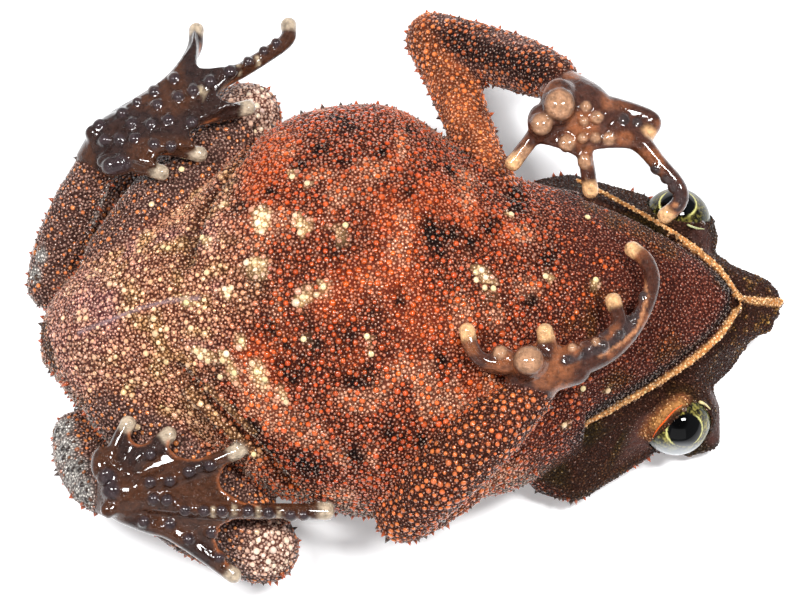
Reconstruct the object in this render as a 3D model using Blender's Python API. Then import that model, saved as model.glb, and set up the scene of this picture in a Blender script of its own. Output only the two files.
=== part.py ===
"""A crested forest toad, life size, lying on its back with its legs folded over its belly.

X runs from the rump to the snout, Y to the animal's right side, and Z up from the floor to the belly.
Stations and points are in millimetres from the middle of the trunk, and MM turns them into metres.
"""

import math
import random

import bmesh
import bpy
import numpy as np
from mathutils import Matrix, Vector
from mathutils.bvhtree import BVHTree

# Driving dimensions, in millimetres
MM = 0.001
TRUNK_HALF_WIDTH = 17.3
TRUNK_DEPTH = 20.8
EYE_RADIUS = 2.9
LIP_RADIUS = 0.5
TOE_RADIUS = 0.75
WEB_THICKNESS = {"palm": 0.6, "sole": 1.0}
WEB_RAISE = {"palm": 0.0, "sole": 0.3}
WEB_HOLLOW = {"palm": 0.1, "sole": 0.24}
NODE_GAP = 0.33
SPINE_LENGTH = 0.65
SPINE_RADIUS = 0.4
BEAD_RADIUS = 0.5
BEAD_HEIGHT = 0.28
NOSTRIL_RADIUS = 0.32

# The trunk's middle in the finished part, which puts the origin under the middle of the box
PART_SHIFT = Vector((-0.43, -1.82, 0.0))

# Voxel sizes that fuse the forms of a node, and the smoothing passes that follow
BODY_VOXEL = 0.42
FINE_VOXEL = 0.26
SMOOTHING = 5

# Triangles left on each kind of node
BUDGET = {"trunk": 1500, "head": 2000, "jaw": 480, "limb": 320, "hand": 1050, "foot": 1180}

# How many spines each kind of node carries on its sides, and how many round beads on top
SPINES = {"trunk": 38, "head": 14, "jaw": 0, "limb": 11, "hand": 0, "foot": 0}
BEADS = {"trunk": 42, "head": 0, "jaw": 6, "limb": 2, "hand": 0, "foot": 0}


def spline(stations, steps):
    """Runs a Catmull-Rom curve through the rows, with this many steps between two of them."""
    rows = np.array(stations, dtype=float)
    rows = np.vstack([2 * rows[0] - rows[1], rows, 2 * rows[-1] - rows[-2]])
    curve = []
    for before, start, end, after in zip(rows, rows[1:], rows[2:], rows[3:]):
        for step in range(steps):
            t = step / steps
            linear = (end - before) * t
            square = (2 * before - 5 * start + 4 * end - after) * t * t
            cube = (3 * start - before - 3 * end + after) * t**3
            curve.append((2 * start + linear + square + cube) / 2)
    return np.array(curve + [rows[-2]])


def bridge(bm, loops):
    """Skins a row of edge loops and closes both ends."""
    for first, second in zip(loops, loops[1:]):
        bmesh.ops.bridge_loops(bm, edges=first + second)
    for end in (loops[0], loops[-1]):
        bmesh.ops.contextual_create(bm, geom=end)


def circle(bm, matrix, sides):
    """Adds a unit circle through the matrix and returns its edges."""
    made = bmesh.ops.create_circle(bm, cap_ends=False, radius=1.0, segments=sides, matrix=matrix)
    return list({edge for vert in made["verts"] for edge in vert.link_edges})


def add_hull(bm, stations, sides=36, belly_power=1.0, back_power=0.75):
    """Adds a long body from upright sections.

    A station is x, the middle's y, the half width to the right and to the left, and the heights of
    the back, of the widest level and of the belly. A power under 1 makes that side of it boxier.
    """
    loops = []
    for x, middle, right, left, back, widest, belly in spline(stations, 3):
        edges = circle(bm, Matrix.Identity(4), sides)
        for vert in {vert for edge in edges for vert in edge.verts}:
            across, rise = vert.co.x, vert.co.y
            reach = right if across > 0 else left
            height = belly - widest if rise > 0 else widest - back
            power = belly_power if rise > 0 else back_power
            level = math.copysign(abs(rise) ** power, rise) * height
            vert.co = Vector((x, middle + across * reach, widest + level))
        loops.append(edges)
    bridge(bm, loops)


def add_tube(bm, stations, sides=16, flatness=1.0, flat_axis=Vector((0, 0, 1)), steps=4):
    """Adds a bent tube with round ends through rows of x, y, z and radius."""
    rows = spline(stations, steps)
    start, end = Vector(rows[0][:3]), Vector(rows[-1][:3])
    start_way = (start - Vector(rows[1][:3])).normalized()
    end_way = (end - Vector(rows[-2][:3])).normalized()
    turns = [math.radians(angle) for angle in (80, 55, 28)]
    head = [(start + start_way * rows[0][3] * math.sin(t), rows[0][3] * math.cos(t)) for t in turns]
    tail = [(end + end_way * rows[-1][3] * math.sin(t), rows[-1][3] * math.cos(t)) for t in turns]
    path = head + [(Vector(row[:3]), row[3]) for row in rows] + tail[::-1]
    loops = []
    for index, (centre, radius) in enumerate(path):
        ahead = path[min(index + 1, len(path) - 1)][0]
        behind = path[max(index - 1, 0)][0]
        way = (ahead - behind).normalized()
        side = flat_axis.cross(way).normalized()
        up = way.cross(side)
        turn = Matrix((side * radius, up * radius * flatness, way)).transposed().to_4x4()
        loops.append(circle(bm, Matrix.Translation(centre) @ turn, sides))
    bridge(bm, loops)


def add_lump(bm, centre, radii, way=Vector((0, 0, 1)), detail=3):
    """Adds an ellipsoid whose third radius points along the way given."""
    turn = Vector(way).to_track_quat("Z", "Y").to_matrix().to_4x4()
    matrix = Matrix.Translation(Vector(centre)) @ turn @ Matrix.Diagonal((*radii, 1.0))
    bmesh.ops.create_icosphere(bm, subdivisions=detail, radius=1.0, matrix=matrix)


def add_plate(bm, balls):
    """Stretches a tight sheet round a few balls, given as x, y, z and radius, and fills it."""
    plate = bmesh.new()
    for x, y, z, radius in balls:
        bmesh.ops.create_icosphere(plate, subdivisions=2, radius=radius, matrix=Matrix.Translation((x, y, z)))
    bmesh.ops.delete(plate, geom=list(plate.edges), context="EDGES_FACES")
    bmesh.ops.convex_hull(plate, input=list(plate.verts))
    inside = [vert for vert in plate.verts if not vert.link_faces]
    bmesh.ops.delete(plate, geom=inside, context="VERTS")
    mesh = bpy.data.meshes.new("plate")
    plate.to_mesh(mesh)
    plate.free()
    bm.from_mesh(mesh)
    bpy.data.meshes.remove(mesh)


def point_along(path, share):
    """The point at this share of a path's length."""
    points = [Vector(row[:3]) for row in path]
    lengths = [(after - before).length for before, after in zip(points, points[1:])]
    left = share * sum(lengths)
    for before, after, length in zip(points, points[1:], lengths):
        if left <= length:
            return before.lerp(after, left / length)
        left -= length
    return points[-1]


def add_web(bm, first, second, first_reach, second_reach, kind):
    """Stretches a web between two digits, with a hollow free edge, as a sheet of real thickness."""
    across, along = 5, 6
    grid = bmesh.ops.create_grid(bm, x_segments=across, y_segments=along, size=0.5)
    for vert in grid["verts"]:
        over, out = vert.co.x + 0.5, vert.co.y + 0.5
        hollow = 1 - WEB_HOLLOW[kind] * 4 * over * (1 - over)
        near = point_along(first, out * first_reach * hollow)
        far = point_along(second, out * second_reach * hollow)
        vert.co = near.lerp(far, over) + Vector((0, 0, WEB_RAISE[kind]))
    faces = list({face for vert in grid["verts"] for face in vert.link_faces})
    bmesh.ops.recalc_face_normals(bm, faces=faces)
    bmesh.ops.solidify(bm, geom=faces, thickness=WEB_THICKNESS[kind])


def material_for(name, colour, roughness):
    """Makes a node's own Principled material."""
    material = bpy.data.materials.new(name)
    material.use_nodes = True
    shader = material.node_tree.nodes["Principled BSDF"]
    shader.inputs["Base Color"].default_value = (*colour, 1.0)
    shader.inputs["Roughness"].default_value = roughness
    shader.inputs["Metallic"].default_value = 0.0
    return material


def replace_mesh(obj):
    """Applies the modifiers that stand on an object."""
    graph = bpy.context.evaluated_depsgraph_get()
    mesh = bpy.data.meshes.new_from_object(obj.evaluated_get(graph))
    obj.modifiers.clear()
    old = obj.data
    obj.data = mesh
    bpy.data.meshes.remove(old)


def is_closed(mesh):
    """True where every edge of the mesh has two faces."""
    bm = bmesh.new()
    bm.from_mesh(mesh)
    closed = all(len(edge.link_faces) == 2 for edge in bm.edges)
    bm.free()
    return closed


def boolean(obj, operation, target):
    """Cuts an object or joins it with an object or a collection, exactly where that leaves it closed."""
    before = obj.data.copy()
    for solver in ("EXACT", "MANIFOLD"):
        step = obj.modifiers.new(operation.title(), "BOOLEAN")
        step.operation = operation
        step.solver = solver
        if isinstance(target, bpy.types.Collection):
            step.operand_type = "COLLECTION"
            step.collection = target
        else:
            step.object = target
        replace_mesh(obj)
        if is_closed(obj.data):
            break
        obj.data = before.copy()
    bpy.data.meshes.remove(before)


def new_object(name, bm):
    """Turns a bmesh in millimetres into an object in metres, moved to the part's origin."""
    bmesh.ops.recalc_face_normals(bm, faces=bm.faces)
    bmesh.ops.translate(bm, vec=PART_SHIFT, verts=bm.verts)
    bmesh.ops.scale(bm, vec=Vector((MM, MM, MM)), verts=bm.verts)
    mesh = bpy.data.meshes.new(name)
    bm.to_mesh(mesh)
    bm.free()
    obj = bpy.data.objects.new(name, mesh)
    bpy.context.scene.collection.objects.link(obj)
    return obj


def fuse(name, bm, voxel, smoothing=SMOOTHING):
    """Fuses overlapping forms into one closed skin and softens the creases."""
    obj = new_object(name, bm)
    remesh = obj.modifiers.new("Fuse", "REMESH")
    remesh.mode = "VOXEL"
    remesh.voxel_size = voxel * MM
    soften = obj.modifiers.new("Soften", "SMOOTH")
    soften.factor = 0.5
    soften.iterations = smoothing
    replace_mesh(obj)
    return obj


def grown(obj):
    """Makes a guide from a node, swollen by the gap that touching nodes keep."""
    guide = bpy.data.objects.new(obj.name + "_guide", obj.data.copy())
    bpy.context.scene.collection.objects.link(guide)
    guide.hide_render = True
    guide.display_type = "WIRE"
    swell = guide.modifiers.new("Swell", "DISPLACE")
    swell.strength = NODE_GAP * MM
    swell.mid_level = 0.0
    remesh = guide.modifiers.new("Close", "REMESH")
    remesh.mode = "VOXEL"
    remesh.voxel_size = BODY_VOXEL * MM
    replace_mesh(guide)
    return guide


def clear_of(obj, *neighbours):
    """Cuts a node back so that it keeps the gap to its neighbours."""
    for neighbour in neighbours:
        guide = grown(neighbour)
        boolean(obj, "DIFFERENCE", guide)
        bpy.data.objects.remove(guide)
    skin = obj.modifiers.new("Skin", "REMESH")
    skin.mode = "VOXEL"
    skin.voxel_size = FINE_VOXEL * MM
    blunt = obj.modifiers.new("Blunt", "SMOOTH")
    blunt.factor = 0.5
    blunt.iterations = 3
    replace_mesh(obj)


def keep_largest(bm):
    """Drops every closed surface of the bmesh but the largest, also one that hangs on by a corner."""
    left = set(bm.faces)
    islands = []
    while left:
        front = [left.pop()]
        island = set(front)
        while front:
            face = front.pop()
            around = {other for edge in face.edges for other in edge.link_faces} - island
            island |= around
            front.extend(around)
        left -= island
        islands.append(island)
    islands.sort(key=len)
    for island in islands[:-1]:
        bmesh.ops.delete(bm, geom=list(island), context="FACES")


def leave_one_body(obj):
    """Drops the loose scraps that a union or a cut has left."""
    bm = bmesh.new()
    bm.from_mesh(obj.data)
    keep_largest(bm)
    bm.to_mesh(obj.data)
    bm.free()


def stand_on_floor(bm):
    """Planes off what reaches below the floor, which leaves the flats that the toad rests on."""
    geometry = list(bm.verts) + list(bm.edges) + list(bm.faces)
    bmesh.ops.bisect_plane(bm, geom=geometry, plane_co=Vector((0, 0, 0)), plane_no=Vector((0, 0, -1)),
                           clear_outer=True)
    rim = [edge for edge in bm.edges if edge.is_boundary]
    if rim:
        bmesh.ops.holes_fill(bm, edges=rim, sides=0)


def finish(obj, budget, colour, roughness):
    """Thins a node to its budget, leaves one closed body on the floor and gives it its material."""
    triangulate = obj.modifiers.new("Triangles", "TRIANGULATE")
    triangulate.quad_method = "BEAUTY"
    replace_mesh(obj)
    full = obj.data.copy()
    for extra in range(0, 120, 20):
        obj.data = full.copy()
        thin = obj.modifiers.new("Thin", "DECIMATE")
        thin.ratio = min(1.0, (budget + extra) / len(full.polygons))
        replace_mesh(obj)
        if is_closed(obj.data):
            break
    bpy.data.meshes.remove(full)
    bm = bmesh.new()
    bm.from_mesh(obj.data)
    keep_largest(bm)
    stand_on_floor(bm)
    bmesh.ops.triangulate(bm, faces=bm.faces)
    bmesh.ops.recalc_face_normals(bm, faces=bm.faces)
    bm.to_mesh(obj.data)
    bm.free()
    obj.data.shade_smooth()
    obj.data.materials.clear()
    obj.data.materials.append(material_for(obj.name, colour, roughness))


def surface_of(obj):
    """A search tree of an object's faces."""
    bm = bmesh.new()
    bm.from_mesh(obj.data)
    tree = BVHTree.FromBMesh(bm)
    bm.free()
    return tree


def wart_sites(obj, count, others, lowest_tilt, highest_tilt):
    """Seeded places on the skin that tilts between two heights of its normal, set apart from each
    other and clear of the other nodes."""
    draw = random.Random(f"{obj.name} {lowest_tilt}")
    faces = [face for face in obj.data.polygons if lowest_tilt < face.normal.z < highest_tilt]
    if not faces or not count:
        return []
    apart = math.sqrt(sum(face.area for face in faces) / count) * 0.62
    sites = []
    for face in draw.choices(faces, [face.area for face in faces], k=count * 30):
        corners = [obj.data.vertices[index].co for index in face.vertices]
        share = sorted((draw.random(), draw.random()))
        place = corners[0] * share[0] + corners[1] * (share[1] - share[0]) + corners[2] * (1 - share[1])
        tip = place + face.normal * SPINE_LENGTH * MM
        crowded = any((place - other).length < apart for other, _ in sites)
        near = [tree.find_nearest(point, 2.5 * NODE_GAP * MM)[0] for tree in others for point in (place, tip)]
        if crowded or any(near) or tip.z < SPINE_LENGTH * MM:
            continue
        sites.append((place, face.normal.copy()))
        if len(sites) == count:
            break
    return sites


def add_warts(obj, spines, beads, others):
    """Roots conical spines in the sides and blunt round beads in the top with one union."""
    group = bpy.data.collections.new(obj.name + "_warts")
    bpy.context.scene.collection.children.link(group)
    kinds = [(wart_sites(obj, spines, others, -0.45, 0.4), SPINE_RADIUS, 0.04, SPINE_LENGTH),
             (wart_sites(obj, beads, others, 0.5, 1.1), BEAD_RADIUS, BEAD_RADIUS * 0.45, BEAD_HEIGHT)]
    for sites, root, tip, height in kinds:
        for place, normal in sites:
            depth = height + 0.45
            turn = normal.to_track_quat("Z", "Y").to_matrix().to_4x4()
            matrix = Matrix.Translation(place + normal * (height - depth / 2) * MM) @ turn
            bm = bmesh.new()
            bmesh.ops.create_cone(bm, cap_ends=True, segments=5, radius1=root * MM, radius2=tip * MM,
                                  depth=depth * MM, matrix=matrix)
            mesh = bpy.data.meshes.new(obj.name + "_wart")
            bm.to_mesh(mesh)
            bm.free()
            group.objects.link(bpy.data.objects.new(mesh.name, mesh))
    if group.objects:
        boolean(obj, "UNION", group)
    for wart in list(group.objects):
        bpy.data.objects.remove(wart)
    bpy.data.collections.remove(group)


def bore_nostrils(head):
    """Sinks a small round nostril into each side of the snout."""
    for sign in (-1, 1):
        bm = bmesh.new()
        turn = Vector((0.3, sign, 0.0)).to_track_quat("Z", "Y").to_matrix().to_4x4()
        centre = Vector((NOSTRIL_X + 0.4, SNOUT_TIP[1] - 0.2 + sign * (NOSTRIL_ASIDE + 0.9), 4.7))
        bmesh.ops.create_cone(bm, cap_ends=True, segments=8, radius1=NOSTRIL_RADIUS * 0.6,
                              radius2=NOSTRIL_RADIUS, depth=1.6, matrix=Matrix.Translation(centre) @ turn)
        cutter = new_object("nostril_guide", bm)
        boolean(head, "DIFFERENCE", cutter)
        bpy.data.objects.remove(cutter)


# Colours from the photo, as linear values
BELLY_COLOUR = (0.26, 0.045, 0.015)
HEAD_COLOUR = (0.055, 0.022, 0.014)
THROAT_COLOUR = (0.13, 0.025, 0.018)
LIMB_COLOUR = (0.16, 0.055, 0.035)
SOLE_COLOUR = (0.045, 0.018, 0.014)
EYE_COLOUR = (0.02, 0.025, 0.01)

# The neck's cut between trunk and head, as a place along X
NECK = 11.6

# x, middle y, right and left half widths, heights of the back, the widest level and the belly
TRUNK_SECTIONS = [
    (-29.9, -2.4, 1.8, 1.4, 4.6, 6.2, 7.6),
    (-28.7, -2.3, 4.2, 3.0, 2.6, 6.0, 9.8),
    (-26.4, -2.2, 6.2, 5.8, 1.0, 6.4, 12.4),
    (-22.5, -1.4, 7.8, 7.8, 0.2, 7.0, 14.6),
    (-17.5, -0.6, 10.2, 10.6, -0.3, 7.8, 17.0),
    (-12.5, 0.0, 14.0, 14.4, -0.3, 8.4, 19.2),
    (-8.0, 0.0, 16.6, 16.2, -0.3, 8.6, 20.4),
    (-2.6, 0.0, TRUNK_HALF_WIDTH, TRUNK_HALF_WIDTH, -0.3, 8.6, TRUNK_DEPTH),
    (0.7, 0.0, 16.4, 17.0, -0.3, 8.6, 20.6),
    (4.0, 0.0, 14.2, 15.9, -0.3, 8.4, 19.6),
    (8.2, 0.0, 11.8, 15.2, -0.2, 7.6, 17.6),
    (11.5, 0.0, 11.0, 13.6, 0.2, 6.6, 15.9),
    (15.0, 0.0, 10.4, 11.6, 0.6, 6.2, 14.6),
]

# The same for the upper half of the head, which lies under the jaw here
SKULL_SECTIONS = [
    (8.6, 0.0, 10.8, 12.4, 0.6, 5.6, 10.6),
    (12.5, 0.0, 10.8, 12.2, 0.4, 5.4, 9.8),
    (16.0, 0.1, 10.2, 10.8, 0.3, 5.2, 9.2),
    (19.5, 0.2, 9.0, 8.8, 0.5, 5.0, 9.0),
    (22.9, 0.4, 7.0, 6.8, 1.0, 5.0, 8.8),
    (26.2, 0.7, 4.6, 4.8, 1.8, 5.0, 8.5),
    (28.4, 0.9, 3.4, 3.4, 2.4, 5.0, 7.9),
    (30.4, 1.2, 2.3, 2.3, 3.0, 4.9, 6.6),
    (31.6, 1.3, 1.1, 1.1, 3.9, 4.9, 5.7),
]

JAW_SECTIONS = [
    (8.6, 0.0, 10.6, 12.2, 6.4, 8.0, 17.6),
    (12.0, 0.0, 9.9, 11.2, 6.4, 8.2, 15.8),
    (15.0, 0.1, 9.2, 9.6, 6.6, 8.4, 14.6),
    (18.0, 0.3, 7.9, 8.0, 6.8, 8.5, 13.6),
    (21.0, 0.5, 6.2, 6.4, 7.0, 8.6, 12.7),
    (23.6, 0.6, 4.5, 4.6, 7.2, 8.7, 11.6),
    (25.8, 0.7, 2.7, 2.8, 7.4, 8.8, 10.6),
    (27.2, 0.7, 1.0, 1.0, 7.8, 8.9, 9.7),
]

LIP_LEVEL = 8.7
# x and half width of the lip's ridge, from the corner of the mouth to the middle of its front
LIP_LINE = [(14.6, 10.4), (17.0, 9.2), (20.5, 7.2), (22.9, 5.7), (24.8, 4.3), (26.6, 2.5), (27.9, 0.4)]
LIP_MIDDLE = 0.6
SNOUT_TIP = (31.8, 1.3, 5.3)
NOSTRIL_X = 30.2
NOSTRIL_ASIDE = 1.6

# The lids' rim, as its height over the eye's middle and its thickness
LID_HEIGHT = 0.5
LID_RADIUS = 0.5

# Each eye's centre and the way it looks
EYES = {
    "left": ((22.8, -8.5, 4.2), (0.10, -0.74, 0.60)),
    "right": ((23.1, 8.4, 4.3), (0.12, 0.86, 0.42)),
}

# The rounded rear lobes of the crests, low on the sides of the head
LOBES = {"left": (14.4, -12.9, 2.3), "right": (14.4, 11.0, 2.3)}

# The balls that the bony plates of cheek, brow and snout are stretched round
CHEEKS = {
    "left": [(14.3, -13.1, 2.3, 2.0), (12.4, -12.6, 2.4, 2.0), (20.0, -10.4, 2.8, 1.3), (14.5, -9.4, 6.4, 1.7),
             (20.2, -6.7, 6.4, 1.5), (11.0, -11.2, 4.4, 2.2), (19.0, -8.0, 1.6, 1.2)],
    "right": [(14.3, 11.3, 2.3, 1.8), (12.4, 10.9, 2.4, 1.9), (20.2, 10.0, 2.8, 1.3), (14.5, 9.4, 6.2, 1.5),
              (20.2, 7.6, 6.3, 1.5), (11.0, 9.6, 4.4, 2.0), (19.0, 8.0, 1.6, 1.2)],
}
BROWS = {
    "left": [(25.6, -9.6, 1.9, 1.2), (24.0, -10.1, 1.7, 1.1), (25.7, -7.2, 2.2, 1.1), (24.5, -5.3, 3.4, 1.4),
             (21.6, -6.8, 2.4, 1.8), (23.0, -4.6, 6.2, 1.6)],
    "right": [(25.5, 8.4, 2.0, 1.2), (24.0, 9.4, 1.8, 1.1), (25.6, 6.9, 2.2, 1.1), (24.5, 5.9, 3.4, 1.4),
              (21.9, 7.2, 2.4, 1.8), (23.0, 5.6, 6.2, 1.6)],
}
SNOUT_SIDES = {
    "left": [(26.6, -3.9, 2.6, 0.8), (27.9, -2.4, 3.0, 0.7), (24.6, -5.3, 3.2, 1.2), (23.9, -3.8, 6.6, 1.5),
             (27.3, -1.2, 6.3, 1.1)],
    "right": [(26.6, 5.3, 2.6, 0.7), (27.9, 4.0, 3.0, 0.65), (24.6, 6.3, 3.2, 1.1), (23.9, 4.9, 6.6, 1.3),
              (27.3, 2.3, 6.2, 1.0)],
}

# Limbs: rows of x, y, z and radius from the body outwards
ARMS = {
    "right": {
        "tubercles": [((12.8, 15.6, 16.6), (1.5, 2.0, 1.1)), ((11.3, 14.0, 16.2), (1.1, 1.5, 0.9)),
                      ((16.4, 14.6, 16.4), (0.8, 0.8, 0.7)), ((15.0, 13.0, 16.2), (0.7, 0.7, 0.6))],
        "fold": ((5.4, 20.9, 6.9), (2.4, 2.2, 1.5)),
        "upper_arm": [(7.4, 7.6, 11.0, 3.3), (6.3, 13.2, 9.6, 2.1), (4.4, 19.4, 7.2, 2.2),
                      (2.5, 24.0, 5.6, 2.25)],
        "forearm": [(2.6, 24.1, 5.8, 2.3), (6.3, 22.4, 7.8, 2.4), (9.9, 20.4, 10.6, 2.4),
                    (12.6, 18.4, 13.6, 2.0)],
        "palm": [(12.9, 17.4, 14.4, 1.9), (15.0, 15.3, 15.6, 2.2), (17.6, 13.9, 15.5, 1.3)],
        "digits": [
            [(12.4, 15.0, 15.6), (10.7, 12.9, 15.4), (9.1, 10.9, 14.8)],
            [(14.0, 14.2, 15.6), (14.9, 11.6, 15.2), (15.4, 8.7, 14.4)],
            [(17.1, 13.6, 15.6), (19.4, 12.4, 15.6), (20.8, 10.8, 15.4), (22.5, 8.9, 15.0),
             (22.6, 7.6, 14.6), (21.5, 6.7, 14.0)],
            [(17.0, 15.4, 15.4), (19.4, 14.9, 15.2), (20.6, 14.3, 15.0), (19.9, 13.0, 15.2)],
        ],
    },
    "left": {
        "tubercles": [((10.2, -6.6, 19.4), (1.5, 1.4, 1.2)), ((8.0, -6.2, 18.9), (1.1, 1.1, 0.9)),
                      ((13.6, -5.6, 18.9), (0.8, 0.8, 0.7)), ((15.8, -5.0, 18.3), (0.7, 0.7, 0.6))],
        "upper_arm": [(6.8, -8.6, 10.0, 3.6), (5.4, -12.8, 9.4, 3.0), (2.6, -15.6, 9.4, 2.7),
                      (0.2, -17.2, 9.8, 2.5)],
        "forearm": [(0.2, -17.2, 10.2, 2.5), (3.3, -14.7, 14.4, 2.9), (7.0, -11.6, 16.8, 2.7),
                    (10.2, -8.9, 17.0, 1.9)],
        "palm": [(10.2, -8.5, 17.2, 2.1), (10.9, -6.9, 18.0, 2.3), (13.6, -6.6, 17.8, 1.6)],
        "digits": [
            [(9.4, -6.6, 18.2), (7.6, -6.6, 18.9), (6.3, -6.3, 19.3), (5.5, -5.3, 19.7), (5.2, -4.1, 19.9)],
            [(11.8, -5.9, 18.3), (11.4, -4.0, 19.2)],
            [(13.8, -6.6, 17.8), (16.8, -5.1, 17.0), (19.0, -2.5, 16.4), (20.2, 0.5, 15.9),
             (19.8, 2.5, 15.6), (18.7, 3.6, 15.2)],
            [(13.6, -5.8, 18.0), (15.8, -4.7, 17.6), (17.4, -3.1, 17.2), (17.0, -1.0, 16.8)],
        ],
    },
}

LEGS = {
    "right": {
        "tubercles": [((-23.6, 11.6, 12.4), (1.5, 0.9, 0.8)), ((-25.4, 14.2, 11.8), (0.75, 0.75, 0.6))],
        "thigh": [(-22.4, 3.4, 7.6, 4.4), (-19.0, 8.6, 7.4, 4.2), (-15.6, 13.4, 6.8, 3.6),
                  (-12.9, 17.2, 6.0, 2.9)],
        "shank": [(-13.4, 17.8, 5.4, 2.5), (-17.8, 14.6, 4.4, 3.1), (-22.9, 10.0, 3.9, 3.0),
                  (-27.8, 4.8, 3.9, 2.6)],
        "tarsus": [(-29.3, 3.0, 4.4, 2.2), (-28.7, 5.6, 5.6, 2.15), (-27.2, 8.8, 7.4, 2.05),
                   (-25.6, 11.4, 9.4, 1.8)],
        "sole": [(-25.2, 12.2, 10.2, 1.9), (-23.4, 13.8, 11.2, 2.3), (-21.2, 14.6, 11.6, 1.8)],
        "digits": [
            [(-23.6, 12.2, 11.6), (-21.6, 11.2, 12.6), (-19.7, 10.6, 12.8)],
            [(-23.0, 13.0, 11.6), (-20.7, 12.9, 12.6), (-18.6, 12.6, 12.8), (-16.6, 12.2, 12.6)],
            [(-23.0, 13.8, 11.4), (-20.7, 14.6, 12.0), (-17.4, 15.2, 12.3), (-15.1, 15.7, 12.2),
             (-12.7, 16.3, 12.0)],
            [(-23.2, 14.6, 11.0), (-21.6, 15.4, 11.4), (-19.1, 16.7, 11.7), (-16.2, 17.9, 12.0),
             (-13.6, 19.3, 12.0), (-11.1, 21.0, 11.6), (-9.5, 22.4, 11.2), (-9.4, 23.7, 10.9)],
            [(-24.2, 15.2, 10.6), (-21.7, 16.8, 10.8), (-19.6, 18.3, 11.0), (-18.1, 20.0, 11.0),
             (-17.2, 21.8, 10.8), (-17.1, 23.4, 10.4)],
        ],
    },
    "left": {
        "tubercles": [((-24.2, -13.6, 12.6), (0.9, 1.5, 0.8)), ((-23.6, -17.2, 12.2), (0.75, 0.75, 0.6))],
        "thigh": [(-22.4, -6.4, 7.6, 4.4), (-18.8, -10.8, 7.4, 4.2), (-15.2, -15.0, 6.8, 3.6),
                  (-11.4, -19.4, 5.8, 3.1)],
        "shank": [(-11.6, -19.8, 5.0, 2.6), (-16.0, -17.4, 4.4, 3.1), (-21.0, -14.0, 3.9, 3.0),
                  (-25.6, -10.8, 3.8, 2.4)],
        "tarsus": [(-27.0, -9.8, 4.4, 2.1), (-26.6, -12.0, 6.2, 2.1), (-25.4, -14.4, 8.4, 2.0),
                   (-24.4, -15.4, 10.0, 1.8)],
        "sole": [(-24.2, -15.6, 10.4, 1.9), (-22.4, -15.6, 11.4, 2.3), (-20.2, -15.6, 11.8, 1.8)],
        "digits": [
            [(-23.2, -14.4, 11.8), (-23.0, -12.2, 12.6), (-22.1, -10.3, 12.8)],
            [(-22.4, -14.8, 11.8), (-21.2, -13.2, 12.6), (-20.2, -12.4, 12.8), (-18.8, -11.2, 12.8)],
            [(-22.2, -15.4, 11.8), (-20.3, -15.1, 12.6), (-17.0, -14.1, 12.9), (-15.2, -13.5, 13.2),
             (-13.2, -12.7, 13.5)],
            [(-22.2, -16.4, 11.6), (-19.1, -16.7, 12.2), (-15.8, -17.2, 12.2), (-12.4, -17.3, 11.8),
             (-9.0, -17.2, 11.2), (-6.1, -17.2, 10.6)],
            [(-22.6, -17.2, 11.0), (-20.3, -18.3, 11.3), (-18.9, -18.8, 11.2), (-16.7, -20.1, 10.6),
             (-13.6, -22.2, 9.6)],
        ],
    },
}

# Shares of two neighbouring toes that the web between them follows
TOE_WEBS = [(0.96, 0.82), (0.97, 0.86), (0.97, 0.7), (0.66, 0.97)]
FINGER_WEBS = [(0.6, 0.6), (0.46, 0.34), (0.3, 0.6)]
TOE_ROWS = (0.22, 0.45, 0.68)


def cut_by_plane(bm, place, keep_front):
    """Cuts forms across X and keeps one side, closed."""
    normal = Vector((-1, 0, 0)) if keep_front else Vector((1, 0, 0))
    geometry = list(bm.verts) + list(bm.edges) + list(bm.faces)
    cut = bmesh.ops.bisect_plane(bm, geom=geometry, plane_co=Vector((place, 0, 0)), plane_no=normal,
                                 clear_outer=True)
    rim = [item for item in cut["geom_cut"] if isinstance(item, bmesh.types.BMEdge)]
    bmesh.ops.contextual_create(bm, geom=rim)


def make_trunk():
    """The trunk, round at the belly and flat along the back, cut square at the neck."""
    bm = bmesh.new()
    add_hull(bm, TRUNK_SECTIONS, sides=44)
    cut_by_plane(bm, NECK - NODE_GAP / 2, keep_front=False)
    return fuse("trunk", bm, BODY_VOXEL)


def lip_points(side):
    """The lip's ridge on one side, as points."""
    return [(x, LIP_MIDDLE + side * half, LIP_LEVEL - 0.02 * (half - 5)) for x, half in LIP_LINE]


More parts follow.
